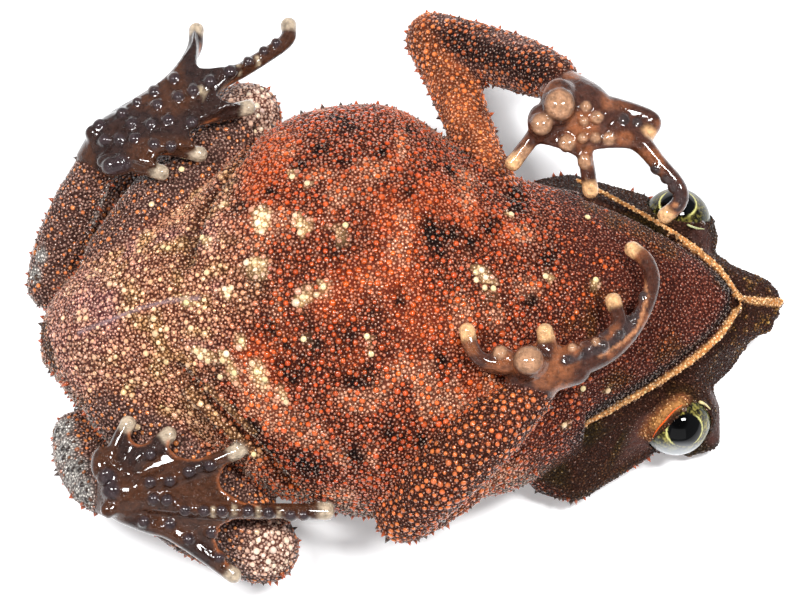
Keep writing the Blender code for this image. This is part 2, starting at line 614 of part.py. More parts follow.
def make_head():
    """The upper half of the head: skull, brows, crests, lip ridge, snout keel and nostrils."""
    bm = bmesh.new()
    add_hull(bm, SKULL_SECTIONS, sides=40)
    cut_by_plane(bm, NECK + NODE_GAP / 2, keep_front=True)
    for side, (centre, way) in EYES.items():
        sign = -1 if side == "left" else 1
        centre, way = Vector(centre), Vector(way).normalized()
        add_lump(bm, centre - way * 1.1 + Vector((0, 0, -0.3)), (3.8, 3.6, 2.9), way)
        rim = []
        across = way.cross(Vector((1, 0, 0))).normalized()
        along = across.cross(way)
        for step in range(13):
            turn = math.tau * step / 12
            reach = along * math.cos(turn) + across * math.sin(turn)
            rim.append((*(centre + way * LID_HEIGHT + reach * (EYE_RADIUS + 0.1)), LID_RADIUS))
        add_tube(bm, rim, sides=10, flat_axis=way, steps=2)
        lobe = Vector(LOBES[side])
        for balls in (CHEEKS[side], BROWS[side], SNOUT_SIDES[side]):
            add_plate(bm, balls)
        crest = [(*lobe, 1.3), (17.6, lobe.y - sign * 2.0, 2.0, 1.0), (20.4, sign * 6.6 + 0.3, 1.3, 1.0),
                 (23.6, sign * 5.6 + 0.4, 1.3, 0.9), (26.6, sign * 4.6 + 0.7, 2.4, 0.8),
                 (27.9, sign * 3.2 + 0.8, 2.8, 0.75), (29.2, sign * 1.8 + 1.0, 3.4, 0.7),
                 (31.2, sign * 0.7 + 1.3, 4.3, 0.6)]
        add_tube(bm, crest, sides=10)
        ridge = [(*point, LIP_RADIUS) for point in lip_points(sign)]
        add_tube(bm, ridge, sides=10)
        add_lump(bm, (NOSTRIL_X, SNOUT_TIP[1] - 0.2 + sign * NOSTRIL_ASIDE, 4.8), (0.95, 0.85, 0.95))
    keel = [(*lip_points(1)[-1], LIP_RADIUS), (29.8, 1.0, 7.2, 0.45), (*SNOUT_TIP, 0.45)]
    add_tube(bm, keel, sides=10)
    return fuse("head", bm, FINE_VOXEL * 1.2, smoothing=3)


def make_jaw():
    """The lower jaw with the throat, which closes inside the ridge of the upper lip."""
    bm = bmesh.new()
    add_hull(bm, JAW_SECTIONS, sides=36)
    cut_by_plane(bm, NECK + NODE_GAP / 2, keep_front=True)
    return fuse("lower_jaw", bm, BODY_VOXEL)


def make_eye(side):
    """An eyeball with its cornea swelling a little out of the ball."""
    centre, way = EYES[side]
    centre, way = Vector(centre), Vector(way).normalized()
    bm = bmesh.new()
    add_lump(bm, centre, (EYE_RADIUS, EYE_RADIUS, EYE_RADIUS), way)
    for vert in bm.verts:
        lean = (vert.co - centre).normalized().dot(way)
        vert.co += way * max(0.0, lean - 0.75) * 1.4
    return new_object(side + "_eye", bm)


def make_limb(name, rows, fold=None):
    """One length of an arm or a leg, as a tapered tube, with a fold of skin where the joint bends."""
    bm = bmesh.new()
    add_tube(bm, rows, sides=20)
    if fold:
        add_lump(bm, *fold)
    return fuse(name, bm, BODY_VOXEL)


def make_hand_or_foot(name, limb, key, radii, webs, rows_of_lumps):
    """A palm or sole with its digits, their round tips and the webs between them."""
    bm = bmesh.new()
    add_tube(bm, limb[key], sides=18, flatness=0.72)
    base, middle, tip = radii
    for digit in limb["digits"]:
        last = len(digit) - 1
        widths = [base + (middle - base) * min(1.0, 2 * place / last) for place in range(last + 1)]
        rows = [(*point, width) for point, width in zip(digit, widths)]
        add_tube(bm, rows, sides=10)
        add_lump(bm, digit[-1], (tip, tip, tip), detail=2)
    for centre, radii_of_lump in limb["tubercles"]:
        add_lump(bm, centre, radii_of_lump)
    for digit in limb["digits"]:
        for share in rows_of_lumps:
            add_lump(bm, point_along(digit, share) + Vector((0, 0, 0.5)), (0.55, 0.55, 0.5), detail=2)
    for (first, second), (first_reach, second_reach) in zip(zip(limb["digits"], limb["digits"][1:]), webs):
        add_web(bm, first, second, first_reach, second_reach, key)
    return fuse(name, bm, FINE_VOXEL, smoothing=2)


def build_toad():
    """Makes every node, from the trunk outwards, each cut clear of those before it."""
    trunk = make_trunk()
    jaw = make_jaw()
    head = make_head()
    eyes = [make_eye("left"), make_eye("right")]
    clear_of(head, trunk, jaw, *eyes)
    finished = [(trunk, "trunk", BELLY_COLOUR, 0.45), (jaw, "jaw", THROAT_COLOUR, 0.45),
                (head, "head", HEAD_COLOUR, 0.5)]
    core = [trunk, jaw, head]
    for side, arm in ARMS.items():
        upper = make_limb(side + "_upper_arm", arm["upper_arm"], arm.get("fold"))
        clear_of(upper, *core)
        fore = make_limb(side + "_forearm", arm["forearm"])
        clear_of(fore, upper, *core)
        hand = make_hand_or_foot(side + "_hand", arm, "palm", (1.0, 0.74, 0.85), FINGER_WEBS, (0.4, 0.7))
        clear_of(hand, fore, *core)
        finished += [(upper, "limb", LIMB_COLOUR, 0.5), (fore, "limb", LIMB_COLOUR, 0.5),
                     (hand, "hand", SOLE_COLOUR, 0.3)]
    for side, leg in LEGS.items():
        thigh = make_limb(side + "_thigh", leg["thigh"])
        clear_of(thigh, trunk)
        shank = make_limb(side + "_shank", leg["shank"])
        clear_of(shank, trunk, thigh)
        tarsus = make_limb(side + "_tarsus", leg["tarsus"])
        clear_of(tarsus, trunk, thigh, shank)
        foot = make_hand_or_foot(side + "_foot", leg, "sole", (0.95, TOE_RADIUS, 0.85), TOE_WEBS, TOE_ROWS)
        clear_of(foot, trunk, thigh, shank, tarsus)
        finished += [(thigh, "limb", LIMB_COLOUR, 0.5), (shank, "limb", LIMB_COLOUR, 0.5),
                     (tarsus, "limb", LIMB_COLOUR, 0.5), (foot, "foot", SOLE_COLOUR, 0.3)]
    for obj, kind, colour, roughness in finished:
        finish(obj, BUDGET[kind], colour, roughness)
    surfaces = {obj.name: surface_of(obj) for obj in [row[0] for row in finished] + eyes}
    for obj, kind, _, _ in finished:
        others = [tree for name, tree in surfaces.items() if name != obj.name]
        add_warts(obj, SPINES[kind], BEADS[kind], others)
    bore_nostrils(head)
    for obj, *_ in finished:
        leave_one_body(obj)
    for eye in eyes:
        eye.data.shade_smooth()
        eye.data.materials.append(material_for(eye.name, EYE_COLOUR, 0.05))


for leftover in list(bpy.data.objects):
    bpy.data.objects.remove(leftover)

build_toad()
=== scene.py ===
# %% [markdown]
# # A crested forest toad on its back
#
# The toad lies on a white sheet with its legs folded over its belly, life size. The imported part
# gives the solids; this lesson grows one fine skin over them, strews it with many thousands of
# warts and grains, paints both with the same markings and sets two wet eyes in the head.
#
# Stations and points are in millimetres from the middle of the trunk: X runs to the snout, Y to the
# animal's right side and Z up from the floor. MM and SHIFT take them into the frame.

# %% The frame
import math
import bmesh
import bpy
import numpy as np
from mathutils import Matrix, Vector
from mathutils.bvhtree import BVHTree


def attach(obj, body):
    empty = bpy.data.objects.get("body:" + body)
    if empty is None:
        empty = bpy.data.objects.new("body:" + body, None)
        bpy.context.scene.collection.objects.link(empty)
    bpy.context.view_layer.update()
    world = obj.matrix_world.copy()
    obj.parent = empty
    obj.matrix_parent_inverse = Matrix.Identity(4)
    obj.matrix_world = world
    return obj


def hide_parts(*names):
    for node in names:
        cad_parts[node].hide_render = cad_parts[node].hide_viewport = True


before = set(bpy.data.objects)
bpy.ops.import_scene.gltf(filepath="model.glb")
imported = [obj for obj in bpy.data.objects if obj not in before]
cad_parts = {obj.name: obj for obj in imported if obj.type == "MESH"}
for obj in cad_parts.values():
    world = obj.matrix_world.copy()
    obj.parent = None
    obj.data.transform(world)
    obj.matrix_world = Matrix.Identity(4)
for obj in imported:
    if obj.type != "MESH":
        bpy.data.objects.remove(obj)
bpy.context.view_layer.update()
MM = 0.001
SHIFT = Vector((-0.43, -1.82, 0.0))

# %% [markdown]
# ## Camera
#
# The photograph was taken from nearly straight above with a macro lens. A camera 300 mm away, tipped
# 12 degrees from the vertical, gives the same outline. Its focal length is kept in pixels of the
# frame, because the same number turns a pixel of the photograph into a ray, which later sets single
# warts and folds where the toad has them.

# %% Camera
FRAME_WIDTH, FRAME_HEIGHT = 803, 602
FOCAL_PIXELS = 3676
CAMERA_TILT = math.radians(78)
CAMERA_DISTANCE = 0.300
SENSOR_WIDTH = 36.0

look_at = (Vector((0.0, 0.0, 12.0)) + SHIFT) * MM
stand_at = look_at + Vector((0.0, -math.cos(CAMERA_TILT), math.sin(CAMERA_TILT))) * CAMERA_DISTANCE
camera_turn = (look_at - stand_at).to_track_quat("-Z", "Y")

camera_data = bpy.data.cameras.new("macro_camera")
camera_data.sensor_width = SENSOR_WIDTH
camera_data.lens = FOCAL_PIXELS / FRAME_WIDTH * SENSOR_WIDTH
camera_data.clip_start = 0.01
camera = bpy.data.objects.new("macro_camera", camera_data)
camera.location = stand_at
camera.rotation_euler = camera_turn.to_euler()
bpy.context.scene.collection.objects.link(camera)
bpy.context.scene.camera = camera
print("the lens is", round(camera_data.lens), "mm long")


def pixel_ray(across, down):
    """Where the camera stands and which way it looks through a pixel, in the tables' millimetres."""
    way = Vector((across - FRAME_WIDTH / 2, FRAME_HEIGHT / 2 - down, -FOCAL_PIXELS)).normalized()
    return stand_at / MM - SHIFT, camera_turn @ way


# %% [markdown]
# ## Colours and shader nodes
#
# Hex codes are what a colour picker shows, and Blender's shaders want linear light, so one function
# turns them. Another adds a node with its settings and links, which keeps each material readable as
# a list of what it is made of.

# %% Colours and shader nodes
def linear(code):
    """Turns an sRGB hex code into linear red, green and blue."""
    parts = np.array([int(code[place:place + 2], 16) for place in (1, 3, 5)]) / 255
    return np.where(parts <= 0.04045, parts / 12.92, ((parts + 0.055) / 1.055) ** 2.4)


def add_node(tree, kind, settings=None, inputs=None):
    """Adds a shader node. An input is a plain value, or a socket to link from."""
    node = tree.nodes.new(kind)
    for name, value in (settings or {}).items():
        setattr(node, name, value)
    for name, value in (inputs or {}).items():
        if isinstance(value, bpy.types.NodeSocket):
            tree.links.new(value, node.inputs[name])
        else:
            node.inputs[name].default_value = value
    return node


def new_material(name):
    """A material with an empty tree and its output and Principled shader."""
    material = bpy.data.materials.new(name)
    material.use_nodes = True
    tree = material.node_tree
    tree.nodes.clear()
    shader = add_node(tree, "ShaderNodeBsdfPrincipled")
    add_node(tree, "ShaderNodeOutputMaterial", inputs={"Surface": shader.outputs["BSDF"]})
    return material, tree, shader


# %% [markdown]
# ## Sheet and light
#
# The toad lies on a sheet of white acrylic, lit faintly from below, so its shadows stay pale. It is
# slightly glossy and holds a faint reflection of toes and snout. Two upright flash boxes to the left
# and right of the lens give every wet wart its white glint. The room is bright all round and dark
# overhead, behind the lens: its walls fill the shadows, and the wet skin that faces the lens mirrors
# the dark ceiling and keeps its deep colours.

# %% Sheet and light
SHEET_HALF = 0.6
SHEET_GLOW = 0.28


def acrylic_sheet():
    """Cast white acrylic, lit faintly from below: a smooth, bright plastic with a soft gloss."""
    material, tree, shader = new_material("cast_white_acrylic")
    place = add_node(tree, "ShaderNodeTexCoord")
    cloud = add_node(tree, "ShaderNodeTexNoise", inputs={"Vector": place.outputs["Object"], "Scale": 18.0})
    tint = add_node(tree, "ShaderNodeMix", {"data_type": "RGBA"}, {
        "Factor": cloud.outputs["Fac"], "A": (*linear("#f6f7f9"), 1.0), "B": (*linear("#fbfbfb"), 1.0)})
    tree.links.new(tint.outputs["Result"], shader.inputs["Base Color"])
    tree.links.new(tint.outputs["Result"], shader.inputs["Emission Color"])
    shader.inputs["Emission Strength"].default_value = SHEET_GLOW
    shader.inputs["Roughness"].default_value = 0.22
    shader.inputs["IOR"].default_value = 1.49
    return material


bm = bmesh.new()
bmesh.ops.create_grid(bm, x_segments=1, y_segments=1, size=SHEET_HALF)
sheet_mesh = bpy.data.meshes.new("acrylic_sheet")
bm.to_mesh(sheet_mesh)
bm.free()
sheet = bpy.data.objects.new("acrylic_sheet", sheet_mesh)
sheet_mesh.materials.append(acrylic_sheet())
bpy.context.scene.collection.objects.link(sheet)

world = bpy.data.worlds.new("bright_room")
world.use_nodes = True
room = world.node_tree
direction = add_node(room, "ShaderNodeTexCoord")
height = add_node(room, "ShaderNodeSeparateXYZ", inputs={"Vector": direction.outputs["Object"]})
walls = add_node(room, "ShaderNodeMapRange", {"interpolation_type": "SMOOTHSTEP"}, {
    "Value": height.outputs["Z"], "From Min": 0.93, "From Max": 0.70, "To Min": 0.06, "To Max": 0.30})
room.nodes["Background"].inputs["Color"].default_value = (*linear("#f2f6ff"), 1.0)
room.links.new(walls.outputs["Result"], room.nodes["Background"].inputs["Strength"])
bpy.context.scene.world = world
bpy.context.scene.view_settings.view_transform = "Standard"

# Where each lamp stands in metres, its width and height and its power in watts
LAMPS = {
    "left_flash": ((-0.115, 0.005, 0.30), 0.045, 0.09, 0.86),
    "right_flash": ((0.115, 0.017, 0.30), 0.045, 0.09, 0.86),
    "soft_box": ((0.0, -0.40, 0.26), 0.50, 0.40, 0.26),
}
for name, (place, wide, high, power) in LAMPS.items():
    lamp_data = bpy.data.lights.new(name, "AREA")
    lamp_data.shape = "RECTANGLE"
    lamp_data.size = wide
    lamp_data.size_y = high
    lamp_data.energy = power
    lamp = bpy.data.objects.new(name, lamp_data)
    lamp.location = place
    lamp.rotation_euler = (look_at - Vector(place)).to_track_quat("-Z", "Y").to_euler()
    bpy.context.scene.collection.objects.link(lamp)
print(len(LAMPS), "lamps")

# %% [markdown]
# ## Tools for soft forms
#
# An animal has no flat faces to extrude, so its forms are tubes, sections and eggs that overlap. Each
# one starts from a circle or a sphere that bmesh makes, and a smooth curve runs through its stations.
# Overlapping is fine, because one remesh fuses them all afterwards.

# %% Tools for soft forms
def spline(stations, steps):
    """Runs a Catmull-Rom curve through the rows, with this many steps between two of them."""
    rows = np.array(stations, dtype=float)
    rows = np.vstack([2 * rows[0] - rows[1], rows, 2 * rows[-1] - rows[-2]])
    curve = []
    for before, start, end, after in zip(rows, rows[1:], rows[2:], rows[3:]):
        for step in range(steps):
            t = step / steps
            linear_part = (end - before) * t
            square = (2 * before - 5 * start + 4 * end - after) * t * t
            cube = (3 * start - before - 3 * end + after) * t**3
            curve.append((2 * start + linear_part + square + cube) / 2)
    return np.array(curve + [rows[-2]])


def bridge(bm, loops):
    """Skins a row of edge loops and closes both ends."""
    for first, second in zip(loops, loops[1:]):
        bmesh.ops.bridge_loops(bm, edges=first + second)
    for end in (loops[0], loops[-1]):
        bmesh.ops.contextual_create(bm, geom=end)


def circle(bm, matrix, sides):
    """Adds a unit circle through the matrix and returns its edges."""
    made = bmesh.ops.create_circle(bm, cap_ends=False, radius=1.0, segments=sides, matrix=matrix)
    return list({edge for vert in made["verts"] for edge in vert.link_edges})


def add_hull(bm, stations, sides=48, back_power=0.75):
    """Adds a long body from upright sections: x, the middle's y, the half width to the right and to
    the left, and the heights of the back, of the widest level and of the belly."""
    loops = []
    for x, middle, right, left, back, widest, belly in spline(stations, 4):
        edges = circle(bm, Matrix.Identity(4), sides)
        for vert in {vert for edge in edges for vert in edge.verts}:
            across, rise = vert.co.x, vert.co.y
            reach = right if across > 0 else left
            height = belly - widest if rise > 0 else widest - back
            power = 1.0 if rise > 0 else back_power
            level = math.copysign(abs(rise) ** power, rise) * height
            vert.co = Vector((x, middle + across * reach, widest + level))
        loops.append(edges)
    bridge(bm, loops)


def add_tube(bm, stations, sides=18, flatness=1.0, flat_axis=Vector((0, 0, 1)), steps=5):
    """Adds a bent tube with round ends through rows of x, y, z and radius."""
    rows = spline(stations, steps)
    start, end = Vector(rows[0][:3]), Vector(rows[-1][:3])
    start_way = (start - Vector(rows[1][:3])).normalized()
    end_way = (end - Vector(rows[-2][:3])).normalized()
    turns = [math.radians(angle) for angle in (80, 55, 28)]
    head = [(start + start_way * rows[0][3] * math.sin(t), rows[0][3] * math.cos(t)) for t in turns]
    tail = [(end + end_way * rows[-1][3] * math.sin(t), rows[-1][3] * math.cos(t)) for t in turns]
    path = head + [(Vector(row[:3]), row[3]) for row in rows] + tail[::-1]
    loops = []
    for index, (centre, radius) in enumerate(path):
        ahead = path[min(index + 1, len(path) - 1)][0]
        behind = path[max(index - 1, 0)][0]
        way = (ahead - behind).normalized()
        side = flat_axis.cross(way).normalized()
        up = way.cross(side)
        turn = Matrix((side * radius, up * radius * flatness, way)).transposed().to_4x4()
        loops.append(circle(bm, Matrix.Translation(centre) @ turn, sides))
    bridge(bm, loops)


def add_plate(bm, balls):
    """Stretches a tight sheet round a few balls, given as x, y, z and radius, and fills it."""
    for x, y, z, radius in balls:
        bmesh.ops.create_icosphere(bm, subdivisions=3, radius=radius, matrix=Matrix.Translation((x, y, z)))
    bmesh.ops.delete(bm, geom=list(bm.edges), context="EDGES_FACES")
    bmesh.ops.convex_hull(bm, input=list(bm.verts))
    inside = [vert for vert in bm.verts if not vert.link_faces]
    bmesh.ops.delete(bm, geom=inside, context="VERTS")


def add_lump(bm, centre, radii, way=Vector((0, 0, 1)), detail=4):
    """Adds an egg whose third radius points along the way given."""
    turn = Vector(way).to_track_quat("Z", "Y").to_matrix().to_4x4()
    matrix = Matrix.Translation(Vector(centre)) @ turn @ Matrix.Diagonal((*radii, 1.0))
    bmesh.ops.create_icosphere(bm, subdivisions=detail, radius=1.0, matrix=matrix)


# %% [markdown]
# ## Trunk, skull and jaw
#
# The belly is a taut, round bag, widest in its middle, and the back under it is flat. The head is a
# wedge in two halves: here the lower jaw with the throat faces up, and the skull lies under it. These
# are the part's own sections, so the skin comes out where the solids are.

# %% Trunk, skull and jaw
TRUNK_HALF_WIDTH = 17.3
TRUNK_DEPTH = 20.8
TRUNK_SECTIONS = [
    (-29.9, -2.4, 1.8, 1.4, 4.6, 6.2, 7.6),
    (-28.7, -2.3, 4.2, 3.0, 2.6, 6.0, 9.8),
    (-26.4, -2.2, 6.2, 5.8, 1.0, 6.4, 12.4),
    (-22.5, -1.4, 7.8, 7.8, 0.2, 7.0, 14.6),
    (-17.5, -0.6, 10.2, 10.6, -0.3, 7.8, 17.0),
    (-12.5, 0.0, 14.0, 14.4, -0.3, 8.4, 19.2),
    (-8.0, 0.0, 16.6, 16.2, -0.3, 8.6, 20.4),
    (-2.6, 0.0, TRUNK_HALF_WIDTH, TRUNK_HALF_WIDTH, -0.3, 8.6, TRUNK_DEPTH),
    (0.7, 0.0, 16.4, 17.0, -0.3, 8.6, 20.6),
    (4.0, 0.0, 14.2, 15.9, -0.3, 8.4, 19.6),
    (8.2, 0.0, 11.8, 15.2, -0.2, 7.6, 17.6),
    (11.5, 0.0, 11.0, 13.6, 0.2, 6.6, 15.9),
    (15.0, 0.0, 10.4, 11.6, 0.6, 6.2, 14.6),
]
SKULL_SECTIONS = [
    (8.6, 0.0, 10.8, 12.4, 0.6, 5.6, 10.6),
    (12.5, 0.0, 10.8, 12.2, 0.4, 5.4, 9.8),
    (16.0, 0.1, 10.2, 10.8, 0.3, 5.2, 9.2),
    (19.5, 0.2, 9.0, 8.8, 0.5, 5.0, 9.0),
    (22.9, 0.4, 7.0, 6.8, 1.0, 5.0, 8.8),
    (26.2, 0.7, 4.6, 4.8, 1.8, 5.0, 8.5),
    (28.4, 0.9, 3.4, 3.4, 2.4, 5.0, 7.9),
    (30.4, 1.2, 2.3, 2.3, 3.0, 4.9, 6.6),
    (31.6, 1.3, 1.1, 1.1, 3.9, 4.9, 5.7),
]
JAW_SECTIONS = [
    (8.6, 0.0, 10.6, 12.2, 6.4, 8.0, 17.6),
    (12.0, 0.0, 9.9, 11.2, 6.4, 8.2, 15.8),
    (15.0, 0.1, 9.2, 9.6, 6.6, 8.4, 14.6),
    (18.0, 0.3, 7.9, 8.0, 6.8, 8.5, 13.6),
    (21.0, 0.5, 6.2, 6.4, 7.0, 8.6, 12.7),
    (23.6, 0.6, 4.5, 4.6, 7.2, 8.7, 11.6),
    (25.8, 0.7, 2.7, 2.8, 7.4, 8.8, 10.6),
    (27.2, 0.7, 1.0, 1.0, 7.8, 8.9, 9.7),
]
forms = []
for sections in (TRUNK_SECTIONS, SKULL_SECTIONS, JAW_SECTIONS):
    forms.append(bmesh.new())
    add_hull(forms[-1], sections)
print("trunk, skull and jaw:", sum(len(form.faces) for form in forms), "faces")

# %% [markdown]
# ## Crests, lids, lips and snout
#
# This toad is named for the bony crests that run from the snout over the eyes and end in a rounded
# lobe behind them. A raised, pale lip runs round the mouth, and a keel joins it to the tip of the
# snout. Bony plates make the cheeks and brows: a convex hull round a few balls gives such a plate its
# flat faces and round edges in one step. The eyes bulge from them, each in a ring of lid, and a
# lower lid, a shell cut from a slightly larger ball, covers a part of it.

# %% Crests, lids, lips and snout
EYE_RADIUS = 2.9
EYES = {
    "left": ((22.8, -8.5, 4.2), (0.10, -0.74, 0.60)),
    "right": ((23.1, 8.4, 4.3), (0.12, 0.86, 0.42)),
}
LOBES = {"left": (14.4, -12.9, 2.3), "right": (14.4, 11.0, 2.3)}
# The balls that the bony plates of cheek, brow and snout are stretched round
CHEEKS = {
    "left": [(14.3, -13.1, 2.3, 2.0), (12.4, -12.6, 2.4, 2.0), (20.0, -10.4, 2.8, 1.3),
             (14.5, -9.4, 6.4, 1.7), (20.2, -6.7, 6.4, 1.5), (11.0, -11.2, 4.4, 2.2), (19.0, -8.0, 1.6, 1.2)],
    "right": [(14.3, 11.3, 2.3, 1.8), (12.4, 10.9, 2.4, 1.9), (20.2, 10.0, 2.8, 1.3), (14.5, 9.4, 6.2, 1.5),
              (20.2, 7.6, 6.3, 1.5), (11.0, 9.6, 4.4, 2.0), (19.0, 8.0, 1.6, 1.2)],
}
BROWS = {
    "left": [(25.6, -9.6, 1.9, 1.2), (24.0, -10.1, 1.7, 1.1), (25.7, -7.2, 2.2, 1.1), (24.5, -5.3, 3.4, 1.4),
             (21.6, -6.8, 2.4, 1.8), (23.0, -4.6, 6.2, 1.6)],
    "right": [(25.5, 8.4, 2.0, 1.2), (24.0, 9.4, 1.8, 1.1), (25.6, 6.9, 2.2, 1.1), (24.5, 5.9, 3.4, 1.4),
              (21.9, 7.2, 2.4, 1.8), (23.0, 5.6, 6.2, 1.6)],
}
SNOUT_SIDES = {
    "left": [(26.6, -3.9, 2.6, 0.8), (27.9, -2.4, 3.0, 0.7), (24.6, -5.3, 3.2, 1.2), (23.9, -3.8, 6.6, 1.5),
             (27.3, -1.2, 6.3, 1.1)],
    "right": [(26.6, 5.3, 2.6, 0.7), (27.9, 4.0, 3.0, 0.65), (24.6, 6.3, 3.2, 1.1), (23.9, 4.9, 6.6, 1.3),
              (27.3, 2.3, 6.2, 1.0)],
}
# The way that the open side of each lower lid faces, and how far its rim is from the eye's middle
LIDS = {"left": ((0.707, -0.691, -0.147), -0.2), "right": ((0.15, 0.96, 0.2), 0.1)}
LIP_LEVEL = 8.7
LIP_RADIUS = 0.32
LIP_MIDDLE = 0.6
LIP_LINE = [(14.6, 10.4), (17.0, 9.2), (20.5, 7.2), (22.9, 5.7), (24.8, 4.3), (26.6, 2.5), (27.9, 0.4)]
SNOUT_TIP = (31.8, 1.3, 5.3)
NOSTRIL_X = 30.2
NOSTRIL_ASIDE = 1.6
LID_HEIGHT = 0.5
LID_RADIUS = 0.38
LID_THICKNESS = 0.42


def lip_points(sign):
    """The lip's ridge on one side, from the corner of the mouth to the middle of its front."""
    return [(x, LIP_MIDDLE + sign * half, LIP_LEVEL - 0.02 * (half - 5)) for x, half in LIP_LINE]


keel_line = [lip_points(1)[-1], (29.8, 1.0, 7.2), SNOUT_TIP]
for side, (centre, way) in EYES.items():
    sign = -1 if side == "left" else 1
    centre, way = Vector(centre), Vector(way).normalized()
    lobe = Vector(LOBES[side])
    bm = bmesh.new()
    forms.append(bm)
    add_lump(bm, centre - way * 1.1 + Vector((0, 0, -0.3)), (3.8, 3.6, 2.9), way)
    across = way.cross(Vector((1, 0, 0))).normalized()
    along = across.cross(way)
    lid = []
    for step in range(13):
        turn = math.tau * step / 12
        reach = along * math.cos(turn) + across * math.sin(turn)
        lid.append((*(centre + way * LID_HEIGHT + reach * (EYE_RADIUS + 0.1)), LID_RADIUS))
    add_tube(bm, lid, sides=12, flat_axis=way, steps=3)
    crest = [(*lobe, 1.3), (17.6, lobe.y - sign * 2.0, 2.0, 1.0), (20.4, sign * 6.6 + 0.3, 1.3, 1.0),
             (23.6, sign * 5.6 + 0.4, 1.3, 0.9), (26.6, sign * 4.6 + 0.7, 2.4, 0.8),
             (27.9, sign * 3.2 + 0.8, 2.8, 0.75), (29.2, sign * 1.8 + 1.0, 3.4, 0.7),
             (31.2, sign * 0.7 + 1.3, 4.3, 0.6)]
    add_tube(bm, crest, sides=12)
    add_tube(bm, [(*point, LIP_RADIUS) for point in lip_points(sign)], sides=12)
    add_lump(bm, (NOSTRIL_X, SNOUT_TIP[1] - 0.2 + sign * NOSTRIL_ASIDE, 4.8), (0.95, 0.85, 0.95))
    for balls in (CHEEKS[side], BROWS[side], SNOUT_SIDES[side]):
        forms.append(bmesh.new())
        add_plate(forms[-1], balls)
    lid_way, lid_rim = Vector(LIDS[side][0]).normalized(), LIDS[side][1]
    forms.append(bmesh.new())
    add_lump(forms[-1], centre, (EYE_RADIUS + LID_THICKNESS,) * 3)
    geometry = list(forms[-1].verts) + list(forms[-1].edges) + list(forms[-1].faces)
    cut = bmesh.ops.bisect_plane(forms[-1], geom=geometry, plane_co=centre + lid_way * lid_rim,
                                 plane_no=lid_way, clear_outer=True)
    rim = [item for item in cut["geom_cut"] if isinstance(item, bmesh.types.BMEdge)]
    bmesh.ops.contextual_create(forms[-1], geom=rim)
forms.append(bmesh.new())
add_tube(forms[-1], [(*point, LIP_RADIUS) for point in keel_line], sides=12)
print("with the head's forms:", sum(len(form.faces) for form in forms), "faces")

# %% [markdown]
# ## Arms and legs
#
# Each limb is a row of tapered tubes that overlap at the joints, with the part's own stations. The
# lengths are named, so that the palms, soles and digits can be found again when they are painted.

# %% Arms and legs
ARMS = {
    "right": {
        "tubercles": [((12.8, 15.6, 16.6), (1.5, 2.0, 1.1)), ((11.3, 14.0, 16.2), (1.1, 1.5, 0.9)),
                      ((16.4, 14.6, 16.4), (0.8, 0.8, 0.7)), ((15.0, 13.0, 16.2), (0.7, 0.7, 0.6))],
        "fold": ((5.4, 20.9, 6.9), (2.4, 2.2, 1.5)),
        "upper_arm": [(7.4, 7.6, 11.0, 3.3), (6.3, 13.2, 9.6, 2.1), (4.4, 19.4, 7.2, 2.2),
                      (2.5, 24.0, 5.6, 2.25)],
        "forearm": [(2.6, 24.1, 5.8, 2.3), (6.3, 22.4, 7.8, 2.4), (9.9, 20.4, 10.6, 2.4),
                    (12.6, 18.4, 13.6, 2.0)],
        "palm": [(12.9, 17.4, 14.4, 1.9), (15.0, 15.3, 15.6, 2.2), (17.6, 13.9, 15.5, 1.3)],
        "digits": [
            [(12.4, 15.0, 15.6), (10.7, 12.9, 15.4), (9.1, 10.9, 14.8)],
            [(14.0, 14.2, 15.6), (14.9, 11.6, 15.2), (15.4, 8.7, 14.4)],
            [(17.1, 13.6, 15.6), (19.4, 12.4, 15.6), (20.8, 10.8, 15.4), (22.5, 8.9, 15.0),
             (22.6, 7.6, 14.6), (21.5, 6.7, 14.0)],
            [(17.0, 15.4, 15.4), (19.4, 14.9, 15.2), (20.6, 14.3, 15.0), (19.9, 13.0, 15.2)],
        ],
    },
    "left": {
        "tubercles": [((10.2, -6.6, 19.4), (1.5, 1.4, 1.2)), ((8.0, -6.2, 18.9), (1.1, 1.1, 0.9)),
                      ((13.6, -5.6, 18.9), (0.8, 0.8, 0.7)), ((15.8, -5.0, 18.3), (0.7, 0.7, 0.6))],
        "upper_arm": [(6.8, -8.6, 10.0, 3.6), (5.4, -12.8, 9.4, 3.0), (2.6, -15.6, 9.4, 2.7),
                      (0.2, -17.2, 9.8, 2.5)],
        "forearm": [(0.2, -17.2, 10.2, 2.5), (3.3, -14.7, 14.4, 2.9), (7.0, -11.6, 16.8, 2.7),
                    (10.2, -8.9, 17.0, 1.9)],
        "palm": [(10.2, -8.5, 17.2, 2.1), (10.9, -6.9, 18.0, 2.3), (13.6, -6.6, 17.8, 1.6)],
        "digits": [
            [(9.4, -6.6, 18.2), (7.6, -6.6, 18.9), (6.3, -6.3, 19.3), (5.5, -5.3, 19.7), (5.2, -4.1, 19.9)],
            [(11.8, -5.9, 18.3), (11.4, -4.0, 19.2)],
            [(13.8, -6.6, 17.8), (16.8, -5.1, 17.0), (19.0, -2.5, 16.4), (20.2, 0.5, 15.9),
             (19.8, 2.5, 15.6), (18.7, 3.6, 15.2)],
            [(13.6, -5.8, 18.0), (15.8, -4.7, 17.6), (17.4, -3.1, 17.2), (17.0, -1.0, 16.8)],
        ],
    },
}
